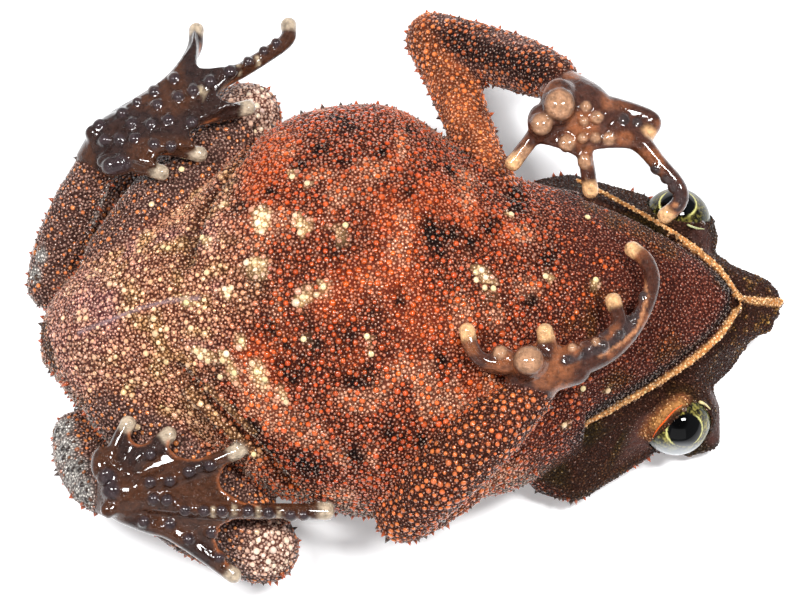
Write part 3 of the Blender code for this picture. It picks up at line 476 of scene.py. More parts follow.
LEGS = {
    "right": {
        "tubercles": [((-23.6, 11.6, 12.4), (1.5, 0.9, 0.8)), ((-25.4, 14.2, 11.8), (0.75, 0.75, 0.6))],
        "thigh": [(-22.4, 3.4, 7.6, 4.4), (-19.0, 8.6, 7.4, 4.2), (-15.6, 13.4, 6.8, 3.6),
                  (-12.9, 17.2, 6.0, 2.9)],
        "shank": [(-13.4, 17.8, 5.4, 2.5), (-17.8, 14.6, 4.4, 3.1), (-22.9, 10.0, 3.9, 3.0),
                  (-27.8, 4.8, 3.9, 2.6)],
        "tarsus": [(-29.3, 3.0, 4.4, 2.2), (-28.7, 5.6, 5.6, 2.15), (-27.2, 8.8, 7.4, 2.05),
                   (-25.6, 11.4, 9.4, 1.8)],
        "sole": [(-25.2, 12.2, 10.2, 1.9), (-23.4, 13.8, 11.2, 2.3), (-21.2, 14.6, 11.6, 1.8)],
        "digits": [
            [(-23.6, 12.2, 11.6), (-21.6, 11.2, 12.6), (-19.7, 10.6, 12.8)],
            [(-23.0, 13.0, 11.6), (-20.7, 12.9, 12.6), (-18.6, 12.6, 12.8), (-16.6, 12.2, 12.6)],
            [(-23.0, 13.8, 11.4), (-20.7, 14.6, 12.0), (-17.4, 15.2, 12.3), (-15.1, 15.7, 12.2),
             (-12.7, 16.3, 12.0)],
            [(-23.2, 14.6, 11.0), (-21.6, 15.4, 11.4), (-19.1, 16.7, 11.7), (-16.2, 17.9, 12.0),
             (-13.6, 19.3, 12.0), (-11.1, 21.0, 11.6), (-9.5, 22.4, 11.2), (-9.4, 23.7, 10.9)],
            [(-24.2, 15.2, 10.6), (-21.7, 16.8, 10.8), (-19.6, 18.3, 11.0), (-18.1, 20.0, 11.0),
             (-17.2, 21.8, 10.8), (-17.1, 23.4, 10.4)],
        ],
    },
    "left": {
        "tubercles": [((-24.2, -13.6, 12.6), (0.9, 1.5, 0.8)), ((-23.6, -17.2, 12.2), (0.75, 0.75, 0.6))],
        "thigh": [(-22.4, -6.4, 7.6, 4.4), (-18.8, -10.8, 7.4, 4.2), (-15.2, -15.0, 6.8, 3.6),
                  (-11.4, -19.4, 5.8, 3.1)],
        "shank": [(-11.6, -19.8, 5.0, 2.6), (-16.0, -17.4, 4.4, 3.1), (-21.0, -14.0, 3.9, 3.0),
                  (-25.6, -10.8, 3.8, 2.4)],
        "tarsus": [(-27.0, -9.8, 4.4, 2.1), (-26.6, -12.0, 6.2, 2.1), (-25.4, -14.4, 8.4, 2.0),
                   (-24.4, -15.4, 10.0, 1.8)],
        "sole": [(-24.2, -15.6, 10.4, 1.9), (-22.4, -15.6, 11.4, 2.3), (-20.2, -15.6, 11.8, 1.8)],
        "digits": [
            [(-23.2, -14.4, 11.8), (-23.0, -12.2, 12.6), (-22.1, -10.3, 12.8)],
            [(-22.4, -14.8, 11.8), (-21.2, -13.2, 12.6), (-20.2, -12.4, 12.8), (-18.8, -11.2, 12.8)],
            [(-22.2, -15.4, 11.8), (-20.3, -15.1, 12.6), (-17.0, -14.1, 12.9), (-15.2, -13.5, 13.2),
             (-13.2, -12.7, 13.5)],
            [(-22.2, -16.4, 11.6), (-19.1, -16.7, 12.2), (-15.8, -17.2, 12.2), (-12.4, -17.3, 11.8),
             (-9.0, -17.2, 11.2), (-6.1, -17.2, 10.6)],
            [(-22.6, -17.2, 11.0), (-20.3, -18.3, 11.3), (-18.9, -18.8, 11.2), (-16.7, -20.1, 10.6),
             (-13.6, -22.2, 9.6)],
        ],
    },
}
for limb in (*ARMS.values(), *LEGS.values()):
    bm = bmesh.new()
    forms.append(bm)
    for length in ("upper_arm", "forearm", "thigh", "shank", "tarsus"):
        if length in limb:
            add_tube(bm, limb[length], sides=26)
    if "fold" in limb:
        add_lump(bm, *limb["fold"])
print("with the limbs:", sum(len(form.faces) for form in forms), "faces")

# %% [markdown]
# ## Hands, feet, digits and webs
#
# A toe is a narrow tube that ends in a round pad. The web between two toes is a sheet of skin with a
# hollow free edge: a small grid is stretched between the two toes and given its thickness, which is
# simpler than cutting it from a solid. The points of each free edge are kept, because the edge is
# orange on this toad.

# %% Hands, feet, digits and webs
TOE_WEBS = [(0.96, 0.82), (0.97, 0.86), (0.97, 0.7), (0.66, 0.97)]
FINGER_WEBS = [(0.6, 0.6), (0.46, 0.34), (0.3, 0.6)]
WEB_THICKNESS = {"palm": 0.6, "sole": 1.0}
WEB_RAISE = {"palm": 0.0, "sole": 0.3}
WEB_HOLLOW = {"palm": 0.1, "sole": 0.24}
TIP_RADIUS = 0.72
PALM_FLATNESS = 0.72
# A digit's radius at its root, and from its middle on
FINGER_ROOT, TOE_ROOT, DIGIT_RADIUS = 1.0, 0.95, 0.68


def point_along(path, share):
    """The point at this share of a path's length."""
    points = [Vector(row[:3]) for row in path]
    lengths = [(after - before).length for before, after in zip(points, points[1:])]
    left = share * sum(lengths)
    for before, after, length in zip(points, points[1:], lengths):
        if left <= length:
            return before.lerp(after, left / length)
        left -= length
    return points[-1]


def add_web(bm, first, second, first_reach, second_reach, kind):
    """Stretches a web between two digits and returns the points of its free edge."""
    grid = bmesh.ops.create_grid(bm, x_segments=8, y_segments=9, size=0.5)
    edge = []
    for vert in grid["verts"]:
        over, out = vert.co.x + 0.5, vert.co.y + 0.5
        hollow = 1 - WEB_HOLLOW[kind] * 4 * over * (1 - over)
        near = point_along(first, out * first_reach * hollow)
        far = point_along(second, out * second_reach * hollow)
        vert.co = near.lerp(far, over) + Vector((0, 0, WEB_RAISE[kind]))
        if out > 0.999:
            edge.append((over, tuple(vert.co)))
    faces = list({face for vert in grid["verts"] for face in vert.link_faces})
    bmesh.ops.recalc_face_normals(bm, faces=faces)
    bmesh.ops.solidify(bm, geom=faces, thickness=WEB_THICKNESS[kind])
    return [point for _, point in sorted(edge)]


web_edges = []
ends = [(ARMS[side], "palm", FINGER_ROOT, FINGER_WEBS) for side in ("left", "right")]
ends += [(LEGS[side], "sole", TOE_ROOT, TOE_WEBS) for side in ("left", "right")]
for limb, key, base, webs in ends:
    bm = bmesh.new()
    forms.append(bm)
    add_tube(bm, limb[key], sides=22, flatness=PALM_FLATNESS)
    for digit in limb["digits"]:
        last = len(digit) - 1
        widths = [base + (DIGIT_RADIUS - base) * min(1.0, 2 * place / last) for place in range(last + 1)]
        add_tube(bm, [(*point, width) for point, width in zip(digit, widths)], sides=14)
        add_lump(bm, digit[-1], (TIP_RADIUS,) * 3, detail=3)
    for centre, radii in limb["tubercles"]:
        add_lump(bm, centre, radii)
    for (first, second), (first_reach, second_reach) in zip(zip(limb["digits"], limb["digits"][1:]), webs):
        web_edges.append(add_web(bm, first, second, first_reach, second_reach, key))
print(len(web_edges), "webs")

# %% [markdown]
# ## One skin
#
# Skin has no seams where a thigh meets a trunk. A voxel remesh walks over all the overlapping forms
# as if it were shrink-wrap and leaves one closed mesh, and a few rounds of smoothing take the marks
# of the voxels away. The sockets are cut after that, a hair wider than the eyeballs.

# %% One skin
SKIN_VOXEL = 0.21
SKIN_TRIANGLES = 188000
SOCKET_GAP = 0.06
COAT_DEPTH = 0.12


def apply_modifiers(obj):
    """Gives an object the mesh that its modifiers make, and clears them."""
    graph = bpy.context.evaluated_depsgraph_get()
    mesh = bpy.data.meshes.new_from_object(obj.evaluated_get(graph))
    obj.modifiers.clear()
    obj.data = mesh


def object_from(name, bm):
    """Turns a bmesh in the tables' millimetres into an object in the frame."""
    bmesh.ops.recalc_face_normals(bm, faces=bm.faces)
    bmesh.ops.translate(bm, vec=SHIFT, verts=bm.verts)
    bmesh.ops.scale(bm, vec=Vector((MM, MM, MM)), verts=bm.verts)
    mesh = bpy.data.meshes.new(name)
    bm.to_mesh(mesh)
    bm.free()
    obj = bpy.data.objects.new(name, mesh)
    bpy.context.scene.collection.objects.link(obj)
    return obj


all_forms = bmesh.new()
for form in forms:
    mesh = bpy.data.meshes.new("form")
    form.to_mesh(mesh)
    form.free()
    all_forms.from_mesh(mesh)
    bpy.data.meshes.remove(mesh)
skin = object_from("toad_skin", all_forms)
fuse = skin.modifiers.new("Fuse", "REMESH")
fuse.mode = "VOXEL"
fuse.voxel_size = SKIN_VOXEL * MM
soften = skin.modifiers.new("Soften", "SMOOTH")
soften.factor = 0.5
soften.iterations = 4
apply_modifiers(skin)
for centre, way in EYES.values():
    socket_form = bmesh.new()
    add_lump(socket_form, centre, (EYE_RADIUS + SOCKET_GAP,) * 3)
    socket = object_from("socket", socket_form)
    cut = skin.modifiers.new("Socket", "BOOLEAN")
    cut.operation = "DIFFERENCE"
    cut.solver = "MANIFOLD"
    cut.object = socket
    apply_modifiers(skin)
    bpy.data.objects.remove(socket)
print("the fused skin has", len(skin.data.polygons), "faces")

# %% [markdown]
# ## Folds
#
# Where the thighs press on the belly, the skin lies in grooves and ridges, and a fine seam runs down
# the middle of the pelvis. Palms and soles carry rows of round pads, a bead under each joint. All of
# them are too slight to model as forms, so the skin's own points are moved along their normals. Each
# fold is a short path of pixels of the photograph, dropped onto the skin by the camera's rays.

# %% Folds
def skin_points():
    """The skin's points and normals in the tables' millimetres."""
    count = len(skin.data.vertices)
    points = np.empty(count * 3, np.float32)
    skin.data.vertices.foreach_get("co", points)
    normals = np.empty(count * 3, np.float32)
    skin.data.vertex_normals.foreach_get("vector", normals)
    return points.reshape(-1, 3).astype(float) / MM - np.array(SHIFT), normals.reshape(-1, 3).astype(float)


def skin_tree():
    """A search tree of the skin in the tables' millimetres."""
    points, _ = skin_points()
    faces = [tuple(face.vertices) for face in skin.data.polygons]
    return BVHTree.FromPolygons([tuple(point) for point in points], faces)


def on_skin(tree, pixels):
    """Drops pixels of the photograph onto the skin and returns the places that they hit."""
    found = []
    for across, down in pixels:
        start, way = pixel_ray(across, down)
        place = tree.ray_cast(start, way)[0]
        if place is not None:
            found.append(np.array(place))
    return found


def path_distance(points, path):
    """How far each point is from a path."""
    nearest = np.full(len(points), np.inf)
    for start, end in zip(path, path[1:]):
        start, way = np.array(start), np.array(end) - np.array(start)
        share = np.clip((points - start) @ way / max(way @ way, 1e-9), 0.0, 1.0)
        nearest = np.minimum(nearest, np.linalg.norm(points - start - share[:, None] * way, axis=1))
    return nearest


def soft_step(values, low, high):
    """Rises smoothly from 0 at low to 1 at high."""
    share = np.clip((values - low) / (high - low), 0.0, 1.0)
    return share * share * (3 - 2 * share)


def bump_over(points, path, width):
    """A bell that is 1 on a path and 0 a width away from it."""
    return 1 - soft_step(path_distance(points, path), 0.0, width)


# Pixel paths, with how far they stand out of the skin, minus into it, and their half width
FOLDS = {
    "left_groin_furrow": ([(178, 372), (205, 398), (240, 432), (268, 462), (290, 486)], -0.7, 1.0),
    "left_groin_ridge": ([(188, 392), (212, 416), (238, 440), (256, 456)], 0.55, 0.6),
    "left_inner_ridge": ([(206, 388), (228, 408), (252, 432)], 0.35, 0.5),
    "right_groin_furrow": ([(262, 128), (238, 160), (214, 190), (196, 226), (186, 262)], -0.6, 1.0),
    "pelvic_seam": ([(78, 333), (110, 320), (140, 308), (172, 300), (200, 298)], 0.16, 0.4),
    "armpit_furrow": ([(470, 168), (494, 184), (520, 196)], -0.5, 1.0),
}
# Round pads under fingers and toes: pixels across and down, radius in pixels and height in millimetres
PALM_PADS = [
    (542, 124, 12, 0.35), (536, 147, 9, 0.3), (586, 106, 6, 0.3), (597, 117.6, 7, 0.35), (584, 122, 5, 0.25),
    (582, 139, 6, 0.3), (567, 143, 9, 0.35), (596, 138, 6, 0.3), (609, 139, 7, 0.3), (584, 162, 8, 0.25),
    (560, 104, 17, 0.45), (500, 351, 8, 0.3), (528, 359, 16, 0.5), (568, 341, 8, 0.35), (584, 335, 6, 0.3),
    (597, 328, 7, 0.3), (572, 347, 5, 0.25), (595, 341, 5, 0.25), (488, 350, 8, 0.25),
]
FINGER_PADS = [
    (624, 119, 7, 0.25), (637, 122, 6, 0.25), (633, 152, 8, 0.25), (655, 170, 6, 0.25), (664, 180, 5, 0.2),
    (671, 189, 5, 0.2), (605, 345, 6, 0.25), (620, 334, 6, 0.25), (633, 318, 6, 0.25), (642, 296, 6, 0.25),
]
SOLE_PADS = [
    (99, 124, 6, 0.3), (122, 112, 6, 0.3), (137, 102, 5, 0.3), (154, 91, 6, 0.3), (174, 78, 6, 0.3),
    (157, 104, 6, 0.3), (178, 96, 6, 0.3), (193, 90, 6, 0.3), (210, 81, 6, 0.3), (230, 71, 6, 0.3),
    (248, 61, 5, 0.3), (264, 51, 5, 0.3), (276, 43, 5, 0.3),
    (104, 140, 6, 0.3), (132, 123, 6, 0.3), (151, 124, 6, 0.3), (168, 119, 6, 0.3), (192, 122, 6, 0.3),
    (119, 139, 6, 0.3), (134, 138, 6, 0.3), (154, 144, 6, 0.3), (171, 147, 6, 0.3), (112, 168, 10, 0.4),
    (122, 165, 10, 0.4), (185, 511, 6, 0.3), (204, 511, 6, 0.3), (222, 511, 6, 0.3), (248, 511, 6, 0.3),
    (269, 513, 6, 0.3), (291, 516, 6, 0.3), (304, 516, 5, 0.25), (151, 455, 6, 0.3), (150, 482, 6, 0.3),
    (170, 482, 6, 0.3), (153, 499, 6, 0.3), (167, 499, 6, 0.3), (189, 472, 6, 0.3), (210, 466, 6, 0.3),
    (170, 524, 6, 0.3), (144, 521, 6, 0.3), (189, 539, 6, 0.3), (212, 533, 6, 0.3), (220, 557, 6, 0.3),
    (108, 477, 10, 0.4), (110, 490, 10, 0.4),
]
# How many times as wide and as high as listed each pad of the soles is made
SOLE_PAD_SIZE, SOLE_PAD_HEIGHT = 1.1, 1.3
SOLE_PADS = [(across, down, radius * SOLE_PAD_SIZE, height * SOLE_PAD_HEIGHT)
             for across, down, radius, height in SOLE_PADS]
PIXEL = CAMERA_DISTANCE / MM / FOCAL_PIXELS


def dome_over(points, place, radius):
    """A half ball of height 1 over a place, and 0 further away than its radius."""
    distance = np.linalg.norm(points - place, axis=1) / radius
    return np.sqrt(np.clip(1 - distance**2, 0, 1))


tree = skin_tree()
folds = {name: on_skin(tree, pixels) for name, (pixels, _, _) in FOLDS.items()}
points, normals = skin_points()
move = np.zeros(len(points))
for name, (_, height, width) in FOLDS.items():
    move += height * bump_over(points, folds[name], width)
swell = np.zeros(len(points))
for across, down, radius, height in PALM_PADS + FINGER_PADS + SOLE_PADS:
    for place in on_skin(tree, [(across, down)]):
        swell = np.maximum(swell, height * dome_over(points, place, radius * PIXEL))
move += swell
print("folds:", {name: len(path) for name, path in folds.items()})
print("pads:", int((swell > 0).sum()), "points")

# %% [markdown]
# ## Mouth furrow and coat depth
#
# The mouth closes in a furrow just inside the pale lip, which follows the lip's own line a little
# nearer to the middle. The whole skin also sinks by the depth of its coat of warts, except on hands
# and feet, which are bare and wet.

# %% Mouth furrow and coat depth
NODE_KINDS = ("trunk", "lower_jaw", "head", "upper_arm", "forearm", "hand",
              "thigh", "shank", "tarsus", "foot")
FURROW_INSIDE, FURROW_RISE, FURROW_DEPTH, FURROW_HALF_WIDTH = 0.85, 0.4, 0.45, 0.7
LOWEST_SKIN = 0.03
flesh_nodes = sorted(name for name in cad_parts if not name.endswith("_eye"))


def nodes_at(points):
    """The number in flesh_nodes of the part's node that lies nearest to each point."""
    corners, faces, owners = [], [], []
    for number, name in enumerate(flesh_nodes):
        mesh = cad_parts[name].data
        start = len(corners)
        corners += [tuple(vert.co / MM - SHIFT) for vert in mesh.vertices]
        faces += [tuple(index + start for index in face.vertices) for face in mesh.polygons]
        owners += [number] * len(mesh.polygons)
    tree = BVHTree.FromPolygons(corners, faces)
    return np.array([owners[tree.find_nearest(Vector(point))[2]] for point in points])


def kinds_of(numbers):
    """Turns numbers in flesh_nodes into numbers in NODE_KINDS."""
    kinds = [[place for place, end in enumerate(NODE_KINDS) if name.endswith(end)][0] for name in flesh_nodes]
    return np.array(kinds)[numbers]


def spread(values, rounds):
    """Averages values between neighbouring points of the skin, which softens their borders."""
    edges = np.empty(len(skin.data.edges) * 2, np.int32)
    skin.data.edges.foreach_get("vertices", edges)
    first, second = edges.reshape(-1, 2).T
    count = len(skin.data.vertices)
    degree = np.bincount(first, minlength=count) + np.bincount(second, minlength=count)
    for _ in range(rounds):
        total = np.bincount(first, values[second], count) + np.bincount(second, values[first], count)
        values = 0.4 * values + 0.6 * total / np.maximum(degree, 1)
    return values


slopes = np.gradient(np.array(LIP_LINE), axis=0)
slopes /= np.linalg.norm(slopes, axis=1)[:, None]
inside_lip = np.array(LIP_LINE) + FURROW_INSIDE * slopes[:, ::-1] * (1, -1)
mouth_line = [(x, LIP_MIDDLE + sign * max(half, 0), LIP_LEVEL + FURROW_RISE)
              for sign, rows in ((1, inside_lip), (-1, inside_lip[::-1])) for x, half in rows]
move -= FURROW_DEPTH * bump_over(points, mouth_line, FURROW_HALF_WIDTH)
kind = kinds_of(nodes_at(points))
bare = spread(np.isin(kind, (NODE_KINDS.index("hand"), NODE_KINDS.index("foot"))).astype(float), 4)
move -= COAT_DEPTH * (1 - bare)
points += normals * move[:, None]
points[:, 2] = np.maximum(points[:, 2], LOWEST_SKIN)
skin.data.vertices.foreach_set("co", ((points + np.array(SHIFT)) * MM).astype(np.float32).ravel())
thin = skin.modifiers.new("Thin", "DECIMATE")
skin.data.calc_loop_triangles()
thin.ratio = min(1.0, SKIN_TRIANGLES / len(skin.data.loop_triangles))
skin.modifiers.new("Triangles", "TRIANGULATE")
apply_modifiers(skin)
skin.data.shade_smooth()
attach(skin, "root")
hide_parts(*flesh_nodes)
print("the skin has", len(skin.data.polygons), "triangles and stands for", len(flesh_nodes), "nodes")

# %% [markdown]
# ## Where the skin is what
#
# The markings change from one part of the body to the next. Each point of the skin takes the part's
# nearest node, and the borders are then spread a little, so that the colours of thigh and belly run
# into each other as they do on the animal.

# %% Where the skin is what
points, normals = skin_points()
node_number = nodes_at(points)
kind = kinds_of(node_number)
share_of = {name: spread((kind == place).astype(float), 5) for place, name in enumerate(NODE_KINDS)}
side_on = 1 - soft_step(normals[:, 2], 0.1, 0.5)
underneath = 1 - soft_step(normals[:, 2], -0.5, -0.1)
tree = skin_tree()
print({name: int(share.sum()) for name, share in share_of.items()})


def noise(points, size, seed):
    """Smooth random values from 0 to 1 whose blotches are this many millimetres across."""
    lattice = np.random.default_rng(seed).random(4096)
    low = np.floor(points / size).astype(np.int64)
    share = points / size - low
    share = share * share * (3 - 2 * share)
    total = np.zeros(len(points))
    for corner in np.ndindex(2, 2, 2):
        index = low + corner
        key = index[:, 0] * 73856093 ^ index[:, 1] * 19349663 ^ index[:, 2] * 83492791
        total += lattice[key & 4095] * np.prod(np.where(corner, share, 1 - share), axis=1)
    return total


# %% [markdown]
# ## The palette
#
# Each kind of skin is three colours and three sizes: the ground between the warts, the fine grains
# on it and the round warts, then the radii of wart and grain in millimetres and the roughness, low
# where the skin is wet. Painting a kind of skin under a soft mask mixes all of them at once.

# %% The palette
PALETTE = {
    "belly": ("#34120a", "#8c4830", "#b44210", 0.21, 0.14, 0.5),
    "belly_red": ("#6a2410", "#b85c38", "#c84e0c", 0.22, 0.14, 0.5),
    "belly_pink": ("#6c3826", "#d09474", "#da6426", 0.21, 0.14, 0.5),
    "belly_dark": ("#0a0403", "#2e150e", "#96380f", 0.19, 0.13, 0.5),
    "cream": ("#b08a5a", "#ecca9a", "#fff0cc", 0.30, 0.17, 0.35),
    "pelvis": ("#4a2418", "#b87c5e", "#eab086", 0.22, 0.14, 0.45),
    "pelvis_purple": ("#4c282a", "#b07a6e", "#e8a488", 0.22, 0.14, 0.45),
    "pelvis_gold": ("#50301a", "#b88658", "#f0cc9c", 0.25, 0.15, 0.45),
    "seam": ("#b89ca0", "#c8acac", "#b89ca0", 0.0, 0.0, 0.4),
    "groin": ("#150b04", "#543216", "#9a581c", 0.17, 0.11, 0.4),
    "flank": ("#3a2c26", "#a08a78", "#c85e26", 0.18, 0.14, 0.55),
    "back": ("#4a3224", "#7a5640", "#8e684a", 0.22, 0.14, 0.6),
    "back_dark": ("#2c1c14", "#4a3426", "#6a4c38", 0.24, 0.14, 0.6),
    "back_stripe": ("#9a7e58", "#c4a67e", "#d0b48a", 0.18, 0.12, 0.6),
    "throat": ("#38140c", "#824434", "#84402a", 0.1, 0.09, 0.34),
    "throat_orange": ("#38120a", "#84402a", "#d4560e", 0.22, 0.1, 0.36),
    "throat_brown": ("#2e1406", "#744018", "#8a4e1c", 0.1, 0.09, 0.34),
    "mouth_band": ("#080505", "#2a201e", "#4a3e3a", 0.15, 0.12, 0.3),
    "lip": ("#bc7c44", "#ecb67c", "#f4c892", 0.11, 0.12, 0.35),
    "skull": ("#2a160e", "#4c2c20", "#5c3a2a", 0.09, 0.08, 0.66),
    "skull_tan": ("#241408", "#8a6030", "#b4843c", 0.11, 0.09, 0.66),
    "skull_olive": ("#221608", "#443214", "#62481c", 0.09, 0.08, 0.66),
    "lid": ("#6e4026", "#b07a4c", "#c89058", 0.1, 0.08, 0.25),
    "lid_gold": ("#a06c3c", "#cc9458", "#d8a468", 0.0, 0.07, 0.22),
    "lid_side": ("#4a2e28", "#5e3e36", "#7c5a50", 0.0, 0.05, 0.3),
    "lid_shadow": ("#0a0706", "#0a0706", "#0a0706", 0.0, 0.0, 0.3),
    "inner_arm": ("#803c20", "#c47850", "#e67c3c", 0.17, 0.11, 0.36),
    "arm": ("#30160e", "#74402e", "#cc6a34", 0.21, 0.11, 0.4),
    "arm_dark": ("#180a08", "#4a2c24", "#a04a20", 0.18, 0.11, 0.4),
    "arm_purple": ("#4a302c", "#9a7064", "#c4744a", 0.17, 0.12, 0.4),
    "leg": ("#38221c", "#8a6458", "#cc7640", 0.18, 0.12, 0.36),
    "leg_side": ("#544844", "#b4a8a0", "#8a7c74", 0.18, 0.14, 0.5),
    "slate": ("#6a6460", "#d0cac2", "#241a16", 0.27, 0.11, 0.4),
    "knee": ("#5a342a", "#c8a08c", "#f0d2bc", 0.24, 0.15, 0.4),
    "palm": ("#46281e", "#573838", "#7c5248", 0.0, 0.03, 0.1),
    "palm_pad": ("#a67c5e", "#b5836a", "#b5836a", 0.0, 0.0, 0.1),
    "finger": ("#804c30", "#573838", "#7c5248", 0.0, 0.03, 0.1),
    "finger_pad": ("#3a2e2c", "#573838", "#7c5248", 0.0, 0.0, 0.1),
    "finger_dark": ("#3c2c2a", "#573838", "#7c5248", 0.0, 0.03, 0.1),
    "finger_bar": ("#ac7450", "#573838", "#7c5248", 0.0, 0.0, 0.1),
    "sole": ("#44281a", "#3d2822", "#4a322a", 0.0, 0.03, 0.1),
    "sole_dark": ("#2e1e1a", "#3d2822", "#4a322a", 0.0, 0.03, 0.1),
    "sole_pad": ("#362a2c", "#2a2a30", "#2a2a30", 0.0, 0.0, 0.1),
    "toe_bar": ("#b8a488", "#b39a8e", "#b39a8e", 0.0, 0.0, 0.1),
    "toe_tip": ("#ae9c86", "#b39a8e", "#b39a8e", 0.0, 0.0, 0.1),
    "finger_tip": ("#d4a474", "#c39468", "#c39468", 0.0, 0.0, 0.1),
    "web_edge": ("#b86a40", "#b4562c", "#b4562c", 0.0, 0.0, 0.1),
}
count = len(points)
paint = {"ground": np.zeros((count, 3)), "grain": np.zeros((count, 3)), "wart": np.zeros((count, 3)),
         "wart_radius": np.zeros(count), "grain_radius": np.zeros(count), "roughness": np.zeros(count)}


def lay(name, mask):
    """Mixes a kind of skin into the markings under a soft mask from 0 to 1."""
    for (layer, values), value in zip(paint.items(), PALETTE[name]):
        if isinstance(value, str):
            paint[layer] = values * (1 - mask[:, None]) + linear(value) * mask[:, None]
        else:
            paint[layer] = values * (1 - mask) + value * mask


def around_spots(spots, reach=1.0):
    """A mask of soft discs on the skin, from pixels of the photograph and radii in pixels."""
    mask = np.zeros(count)
    for across, down, radius in spots:
        for place in on_skin(tree, [(across, down)]):
            distance = np.linalg.norm(points - place, axis=1) / (radius * reach * PIXEL)
            mask = np.maximum(mask, 1 - soft_step(distance, 0.6, 1.25))
    return mask


# %% [markdown]
# ## Belly and pelvis
#
# The belly is rust orange: orange warts on a maroon ground, which clots into nearly black blotches
# and opens into pinkish patches. Warts in some places are cream, alone or in clumps. Towards the
# pelvis the warts turn tan, cream and pink. Three noises of different grain make the patches, and the
# clumps of cream and the darkest blotches are set where the toad has them.

# %% Belly and pelvis
CREAM_SPOTS = [
    (262, 214, 8), (261, 226, 7), (300, 222, 6), (305, 231, 5), (342, 228, 5), (290, 174, 4),
    (309, 186, 4), (262, 268, 9), (252, 264, 6), (258, 370, 8), (262, 380, 5), (223, 356, 6),
    (207, 357, 5), (198, 352, 5), (232, 370, 5), (283, 398, 4), (307, 338, 4), (370, 340, 3),
    (370, 350, 3), (485, 283, 4), (493, 286, 4), (510, 215, 3), (320, 288, 5), (300, 300, 6),
    (548, 277, 3), (597, 283, 3), (585, 218, 3), (580, 391, 3), (608, 389, 3), (565, 422, 3),
    (473, 283, 3), (222, 378, 4), (476, 268, 3), (185, 300, 5), (228, 292, 5), (243, 345, 4),
    (322, 284, 4), (321, 296, 4), (223, 205, 4), (146, 206, 4), (180, 170, 5), (205, 240, 4), (130, 430, 3),
]
DARK_SPOTS = [
    (365, 375, 12), (355, 455, 12), (300, 460, 14), (470, 240, 9), (320, 150, 11), (345, 160, 9),
    (380, 152, 10), (410, 130, 9), (298, 166, 9), (205, 385, 13), (216, 372, 9), (270, 190, 8),
    (285, 345, 8), (350, 381, 8), (440, 360, 8), (400, 300, 7), (330, 250, 7), (452, 235, 8),
    (450, 168, 9), (456, 150, 8), (530, 300, 9), (545, 260, 9), (235, 180, 10), (190, 175, 9),
    (270, 330, 7), (388, 430, 9), (420, 440, 9), (330, 420, 8), (230, 410, 8), (560, 320, 10),
    (101, 310, 3), (116, 334, 4), (225, 190, 14), (205, 205, 12), (240, 208, 10), (250, 430, 14),
    (268, 450, 12), (230, 436, 10), (205, 420, 8), (80, 372, 9), (96, 392, 9), (150, 185, 9), (172, 190, 8),
]
# Where the rump is olive, and where the hind legs are slate grey
RUMP_SPOTS = [(44, 330, 12), (48, 348, 13), (54, 366, 11)]
SLATE_SPOTS = [(60, 430, 17), (64, 450, 18), (72, 472, 19), (82, 494, 18), (92, 512, 14),
               (34, 275, 10), (40, 255, 9)]
RED_SPOTS = [(405, 215, 34), (440, 195, 26), (395, 265, 24), (470, 330, 34), (420, 320, 26), (330, 300, 20),
             (500, 230, 20), (480, 395, 24), (350, 350, 18)]

coarse, middle, fine = noise(points, 5.5, 1), noise(points, 2.4, 2), noise(points, 1.1, 3)
everywhere = np.ones(count)
belly = share_of["trunk"]
lay("belly", everywhere)
lay("belly_red", np.maximum(around_spots(RED_SPOTS), soft_step(coarse + 0.3 * middle, 0.72, 0.95)) * 0.85)
downward = soft_step(-points[:, 1], 2.0, 8.0) - soft_step(points[:, 1], 6.0, 11.0)
lay("belly_pink", soft_step(middle + 0.4 * fine + 0.11 * downward, 0.86, 1.05) * 0.8)
lay("belly_dark", np.maximum(around_spots(DARK_SPOTS), soft_step(1 - middle + 0.5 * fine, 0.98, 1.2)))
border = points[:, 0] + 3.5 * soft_step(-points[:, 1], 2.0, 9.0) + 3.0 * coarse + 2.0 * middle
pelvic = (1 - soft_step(border, -15.0, -8.0)) * belly
lay("pelvis", pelvic)
lay("pelvis_purple", pelvic * soft_step(middle, 0.5, 0.8))
lay("pelvis_gold", pelvic * soft_step(noise(points, 1.3, 4), 0.56, 0.7))
rump = 1 - soft_step(points[:, 0] + 0.35 * np.abs(points[:, 1] + 1), -24.5, -20.5)
lay("pelvis_purple", rump * belly * 0.6)
lay("cream", around_spots(CREAM_SPOTS, 1.2))
# Darker along the groin furrows: partly the skin's own dark colour, partly painted shade in the creases
lay("groin", np.maximum(bump_over(points, folds["left_groin_furrow"], 1.3),
                        bump_over(points, folds["right_groin_furrow"], 1.5)) * 0.8)
lay("pelvis_gold", np.maximum(bump_over(points, folds["left_groin_ridge"], 0.7),
                              bump_over(points, folds["left_inner_ridge"], 0.6)))
lay("seam", bump_over(points, folds["pelvic_seam"], 0.26) * 0.55)
# Greyer where the belly faces sideways: partly the skin's own colour, partly a painted sheen of its lit edges
lay("flank", belly * side_on * 0.75)
lay("groin", around_spots(RUMP_SPOTS) * 0.9)
print("pelvic skin:", int(pelvic.sum()), "points")

# %% [markdown]
# ## Throat, lips and head
#
# The throat is dark maroon with a few orange warts. Along the jaw it turns black, which sets off the
# lip: a ridge of pale orange grains, thin as a thread. The skull beyond it is dark brown with tan
# specks. The masks are distances from the lip's own line.

# %% Throat, lips and head
# The column of pixels where the throat begins
THROAT_FROM = 540
lip_line = lip_points(1) + lip_points(-1)[::-1]
from_lip = path_distance(points, lip_line)
